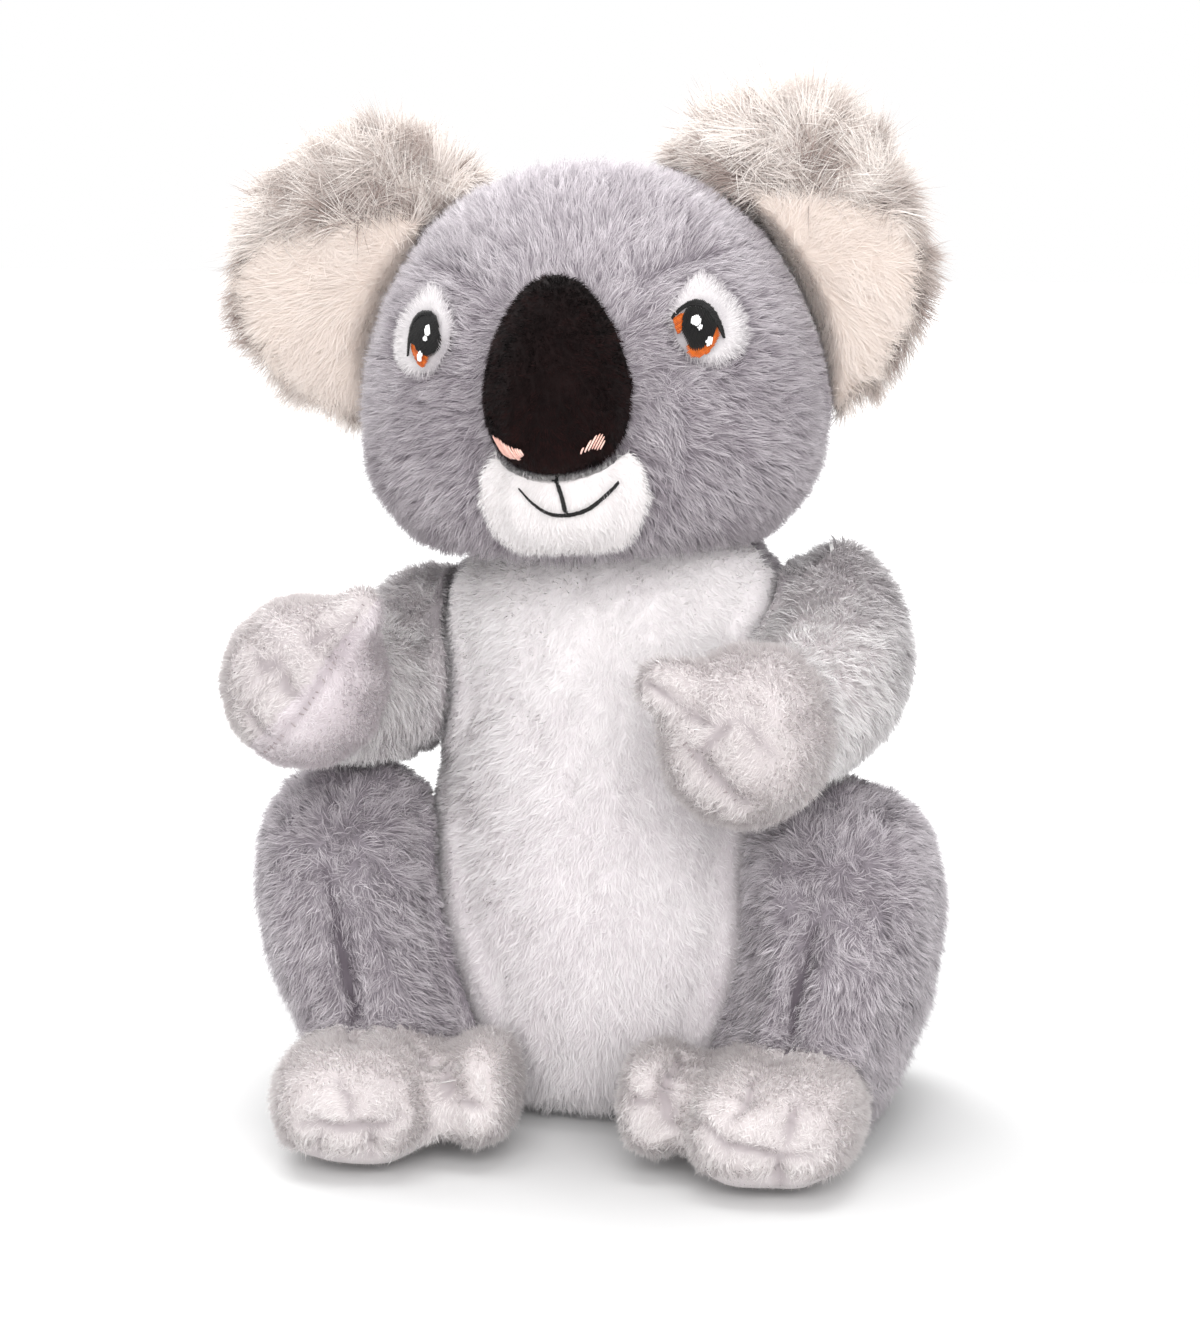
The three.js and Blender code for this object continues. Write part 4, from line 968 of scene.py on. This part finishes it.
def make_eye_patch(side, seed):
    """The white patch: a dished bit of minky that dips at its sewn edge, with its pile"""
    grid = np.arange(-16, 16.01, 0.8)       # mm
    flat = np.array([(u, v) for v in grid for u in grid])
    deep = inside(patch_outline, flat)
    count = len(grid)
    corners = np.array([(r * count + c, r * count + c + 1, (r + 1) * count + c + 1, (r + 1) * count + c)
                        for r in range(count - 1) for c in range(count - 1)])
    corners = corners[(deep[corners] > -0.4).all(axis=1)]
    if outwards[side] < 0:
        corners = corners[:, ::-1]
    used, place = np.unique(corners, return_inverse=True)
    carrier = tree_of(["eye_patch_" + side, "face_panel"])
    shape = flat[used] * [outwards[side], 1]
    points = laid(eye_middles[side], shape, carrier, 0)
    middle_depth, edge_depth = 0.9, 3.5     # mm under the CAD patch
    depth = (edge_depth - middle_depth) * (1 - step(deep[used], -0.4, 3)) + middle_depth
    skin = Skin()
    skin.body = "head"
    skin.quads = place.reshape(-1, 4)
    skin.points = points - face_out * depth[:, None] * mm
    for _ in range(3):
        skin.points = 0.5 * skin.points + 0.5 * averaged(skin.points, edges_of(skin.quads), len(points))
    skin.normals = vertex_normals(skin.points, skin.quads)
    # The embroidery presses the pile down, and the pile under it is painted darker, as painted shade
    skin.contact = step(inside(oval(0.3, 0, 5.6, 7), flat[used]), -0.5, 0.8)
    skin.parting = np.zeros_like(skin.points)
    skin.shut = np.zeros(len(skin.points))
    skin.covers = ["eye_patch_" + side]
    skin.quad_cover = np.zeros(len(skin.quads), int)

    def patch_edge_painted_shade(points):
        """Painted shade: greyer where the grey pile leans over the patch's edge"""
        return -0.75 * (1 - step(on_patch(points, side), -0.3, 2.8))
    furred(skin, "eye_patch_" + side, patch_pile, comb_from(eye_middles[side], 0.1),
           patch_minky, seed, lighter=patch_edge_painted_shade)


# Layers of stitches on an eye, in mm over its patch
iris_lift, pupil_lift, glint_lift = 0.7, 1.1, 1.5
for number, side in enumerate(sides):
    seed = 400 + 20 * number
    draw = np.random.default_rng(seed)
    make_eye_patch(side, seed)
    middle = eye_middles[side]
    carrier = tree_of(["eye_patch_" + side, "face_panel"])
    mirror = np.array([outwards[side], 1.0])
    iris = satin(iris_outlines[side], 35, draw)
    if side == "left":
        iris = np.concatenate([iris, satin(inner_corner, 35, draw)])
    stitched("eye_iris_" + side, amber_thread, middle, iris * mirror, carrier,
             iris_lift, seed=seed)
    pupil = np.concatenate([satin(smooth_line(pupil_outlines[side], 60)[:-1], 70, draw),
                            column(smooth_line(lid_lines[side]), lid_widths[side], 65, draw)])
    stitched("eye_pupil_" + side, black_thread, middle, pupil * mirror, carrier,
             pupil_lift, seed=seed + 1)
    for k, (place, shapes) in enumerate((("upper", glints[side][:2]), ("lower", glints[side][2:]))):
        ends = np.concatenate([satin(oval(*shape), 80, draw) for shape in shapes])
        stitched(f"eye_glint_{place}_{side}", white_thread, middle, ends * mirror, carrier,
                 glint_lift, seed=seed + 2 + k)

draw = np.random.default_rng(500)
nostrils = {
    "left": [(-3.0, -2.0), (-1.3, -0.4), (0.1, 1.2), (1.7, 0.4), (1.1, -1.6), (-0.9, -1.5)],
    "right": [(-3.0, 1.2), (-0.7, 0.5), (1.8, -0.5), (5.0, -1.8), (3.6, -3.3), (-0.2, -2.6), (-2.0, -1.0)]}
for side, outline in nostrils.items():
    ends = satin(outline, 60 if side == "left" else 120, draw, pitch=0.5, ragged=1.0)
    stitched("nostril_stitch_" + side, pink_thread, middle_of("nostril_stitch_" + side), ends,
             tree_of(["nose"]), 0.4, plump=0.3, seed=510)
smile = smooth_line([(-10.6, 4.6), (-7.9, 1.8), (-4.2, -0.6), (-0.7, -1.4), (3.6, -0.8), (7.2, 1.0),
                     (9.6, 3.2), (11.3, 5)])
philtrum = smooth_line([(-2.4, 7.6), (-1.2, 4.2), (-0.2, -0.6)])
mouth = np.concatenate([column(smile, (0.3, 0.6, 1.0, 1.1, 1.0, 0.8), 55, draw),
                        column(philtrum, (0.7, 1.1, 1.2), 50, draw)])
muzzle = skins["muzzle"]
stitched("mouth_stitch", black_thread, middle_of("mouth_stitch") - face_up * 1.6 * mm, mouth,
         tree_from(muzzle.points, muzzle.quads), 1.3, thick=0.4, plump=0.2, seed=520)
seam("palm_seam_right", "arm_right", ["palm_right", "paw_cover_right"], creases["arm_right"][0][0], 530)
seam("palm_seam_left", "arm_left", ["palm_left", "paw_cover_left"], creases["arm_left"][1][0], 540)

nose_root = middle_of("nose")


def painted_chest_light(points):
    """Painted light: the chest, in the head's shade, is lifted whitest, and the belly below stays darker and a
    little lilac towards the seat
    """
    return 0.5 * step(points[:, 2], 70 * mm, 130 * mm) - 0.14


def painted_head_shade(points):
    """Painted light and shade: the head's pile is palest on the forehead, where light falls, and darkest under the
    chin, where shade falls
    """
    rise = points[:, 2]
    return 0.16 * step(rise, 185 * mm, 225 * mm) - 0.1 - 0.3 * (1 - step(rise, 128 * mm, 165 * mm))


torso, head = skins["torso"], skins["head"]
furred(torso, "belly_panel", belly_pile, comb_down, white_plush, 20, lighter=painted_chest_light)
furred(torso, "back_panel", back_pile, comb_down, grey_plush, 30)
furred(head, "face_panel", body_pile, comb_from(nose_root, 0.3, 0.3), grey_plush, 40,
       eye_openings, painted_head_shade)
furred(head, "head_back_panel", body_pile, comb_from(nose_root, 0.6, 0.3), grey_plush, 50,
       lighter=painted_head_shade)
furred(muzzle, "muzzle", minky_pile, comb_from(nose_root, 0.5), muzzle_minky, 60)
furred(skins["nose"], "nose", velour_pile, comb_down, nose_velour, 70)
joints = {joint["child"]: joint for joint in frame["joints"]}
knees = {"left": (838, 862), "right": (345, 806)}       # pixels of the photograph
for number, side in enumerate(sides):
    seed = 100 + 100 * number
    ear, arm, leg = [skins[name + side] for name in ("ear_", "arm_", "leg_")]
    root = np.array(joints["ear_" + side]["pos_m"])
    seam_height = middle_of("ear_front_" + side)[2]

    def rim(points):
        """The ear's hair is darkest by the head and over the lining, and cream at the rim and low down"""
        reach = np.linalg.norm(points - root, axis=1)
        away = step(reach, 14 * mm, 48 * mm) + 0.8 * step(reach, 42 * mm, 54 * mm)
        high = step(points[:, 2], seam_height + 4 * mm, seam_height + 34 * mm)
        low = 1 - step(points[:, 2], seam_height - 20 * mm, seam_height - 4 * mm)
        return 0.4 * away + 0.45 * high + 0.5 * low - 0.42
    furred(ear, "ear_front_" + side, lining_pile, comb_from(root, 0.2), ear_minky, seed)
    furred(ear, "ear_back_" + side, ear_pile, comb_from(root, 0.5), ear_plush, seed + 10,
           lighter=rim)
    shoulder = np.array(joints["arm_" + side]["pos_m"])
    hand = (middle_of("paw_cover_" + side) + middle_of("palm_" + side)) / 2
    way = unit(hand - shoulder)
    # The left sleeve gets more painted light than the right, and the left hand's palm is the paw's plush
    painted_lit_arm_with_plush_palm = side == "left"
    most = 0.62 if painted_lit_arm_with_plush_palm else 0.42

    def painted_sleeve_light(points):
        """Painted light: the sleeve is body grey at the shoulder and grows lighter towards the hand, the left
        sleeve most
        """
        return most * step((points - shoulder) @ way, 0, 45 * mm)
    furred(arm, "arm_cover_" + side, body_pile, comb_along(0.35 * way - up), sleeve_plush,
           seed + 20, lighter=painted_sleeve_light)
    furred(arm, "paw_cover_" + side, short_pile, comb_along(way), paw_plush, seed + 30)
    furred(arm, "palm_" + side, short_pile if painted_lit_arm_with_plush_palm else palm_pile, comb_along(way),
           paw_plush if painted_lit_arm_with_plush_palm else palm_minky, seed + 40)
    knee = seen_on(["leg_cover_" + side], [knees[side], knees[side]])[0]

    def comb_leg(points, out):
        """Down the leg, but parted all round the knee"""
        away = points - knee
        near = 1 - step(np.linalg.norm(away, axis=1), 8 * mm, 36 * mm)[:, None]
        down = up * (1.1 - near)
        return unit(away) * near * 0.8 - down + 1.1 * near * wave_vectors(points, 6 * mm, seed)

    def parted(points):
        """Painted shade: darker where the pile opens at the knee"""
        return -0.16 * np.exp(-(np.linalg.norm(points - knee, axis=1) / (15 * mm)) ** 2)
    furred(leg, "leg_cover_" + side, leg_pile, comb_leg, grey_plush, seed + 50, lighter=parted)
    toes = np.array([0, -1, -0.2])
    furred(leg, "foot_cover_" + side, foot_pile, comb_along(toes), paw_plush, seed + 60)
    furred(leg, "sole_" + side, sole_pile, comb_along(toes), paw_plush, seed + 70)


def looked_at(tree):
    """1 where the camera sees the backdrop, directly, in a gloss or through a piece, and 0 for its light"""
    ray = add_node(tree, "ShaderNodeLightPath")
    seen = add_node(tree, "ShaderNodeMath",
                    {0: ray.outputs["Is Camera Ray"], 1: ray.outputs["Is Glossy Ray"]}, operation="ADD")
    return add_node(tree, "ShaderNodeMath", {0: seen.outputs[0], 1: ray.outputs["Is Transmission Ray"]},
                    operation="ADD", use_clamp=True).outputs[0]


paper_toned, paper_white = 0.12, 0.55       # metres from the toy: its own tone within, pure white beyond


def paper_material(name):
    """Seamless white paper: it keeps the toy's shadow, and the camera sees it pure white further off"""
    material, tree, shader = new_material(name, {"Base Color": colour("#D0D0D0"), "Roughness": 0.9,
                                                 "Emission Color": (1, 1, 1, 1)})
    place = add_node(tree, "ShaderNodeTexCoord")
    far = add_node(tree, "ShaderNodeVectorMath", {0: place.outputs["Object"]}, operation="LENGTH")
    fade = add_node(tree, "ShaderNodeMapRange",
                    {0: far.outputs["Value"], 1: paper_toned, 2: paper_white, 3: 0.0, 4: 0.7})
    glow = add_node(tree, "ShaderNodeMath", {0: fade.outputs[0], 1: looked_at(tree)}, operation="MULTIPLY")
    tree.links.new(glow.outputs[0], shader.inputs["Emission Strength"])
    return material


def make_light():
    """A pale room and three large soft lamps, each with its place, size in metres and power in watts"""
    world = bpy.data.worlds.new("world")
    bpy.context.scene.world = world
    world.use_nodes = True
    tree = world.node_tree
    strength = add_node(tree, "ShaderNodeMapRange", {0: looked_at(tree), 3: 0.9, 4: 1.0})
    background = tree.nodes["Background"]
    background.inputs["Color"].default_value = (1, 1, 1, 1)
    tree.links.new(strength.outputs[0], background.inputs["Strength"])
    lamps = (("front", (0.3, -1.32, 0.62), 1.1, 20), ("overhead", (0.0, 0.1, 1.25), 0.9, 10.5),
             ("rim", (-0.6, 0.5, 0.9), 0.8, 7))
    for name, place, size, power in lamps:
        lamp = bpy.data.objects.new(name, bpy.data.lights.new(name, "AREA"))
        lamp.data.energy = power
        lamp.data.size = size
        lamp.location = place
        lamp.rotation_mode = "QUATERNION"
        lamp.rotation_quaternion = (Vector((0, 0, 0.12)) - Vector(place)).to_track_quat("-Z", "Y")
        bpy.context.scene.collection.objects.link(lamp)


floor_corners = np.array([(-3, -3, 0), (3, -3, 0), (3, 3, 0), (-3, 3, 0)], float)       # metres
plain_object("floor", floor_corners, np.array([(0, 1, 2, 3)]), paper_material("white_paper"))
make_light()
bpy.context.scene.view_settings.view_transform = "Standard"
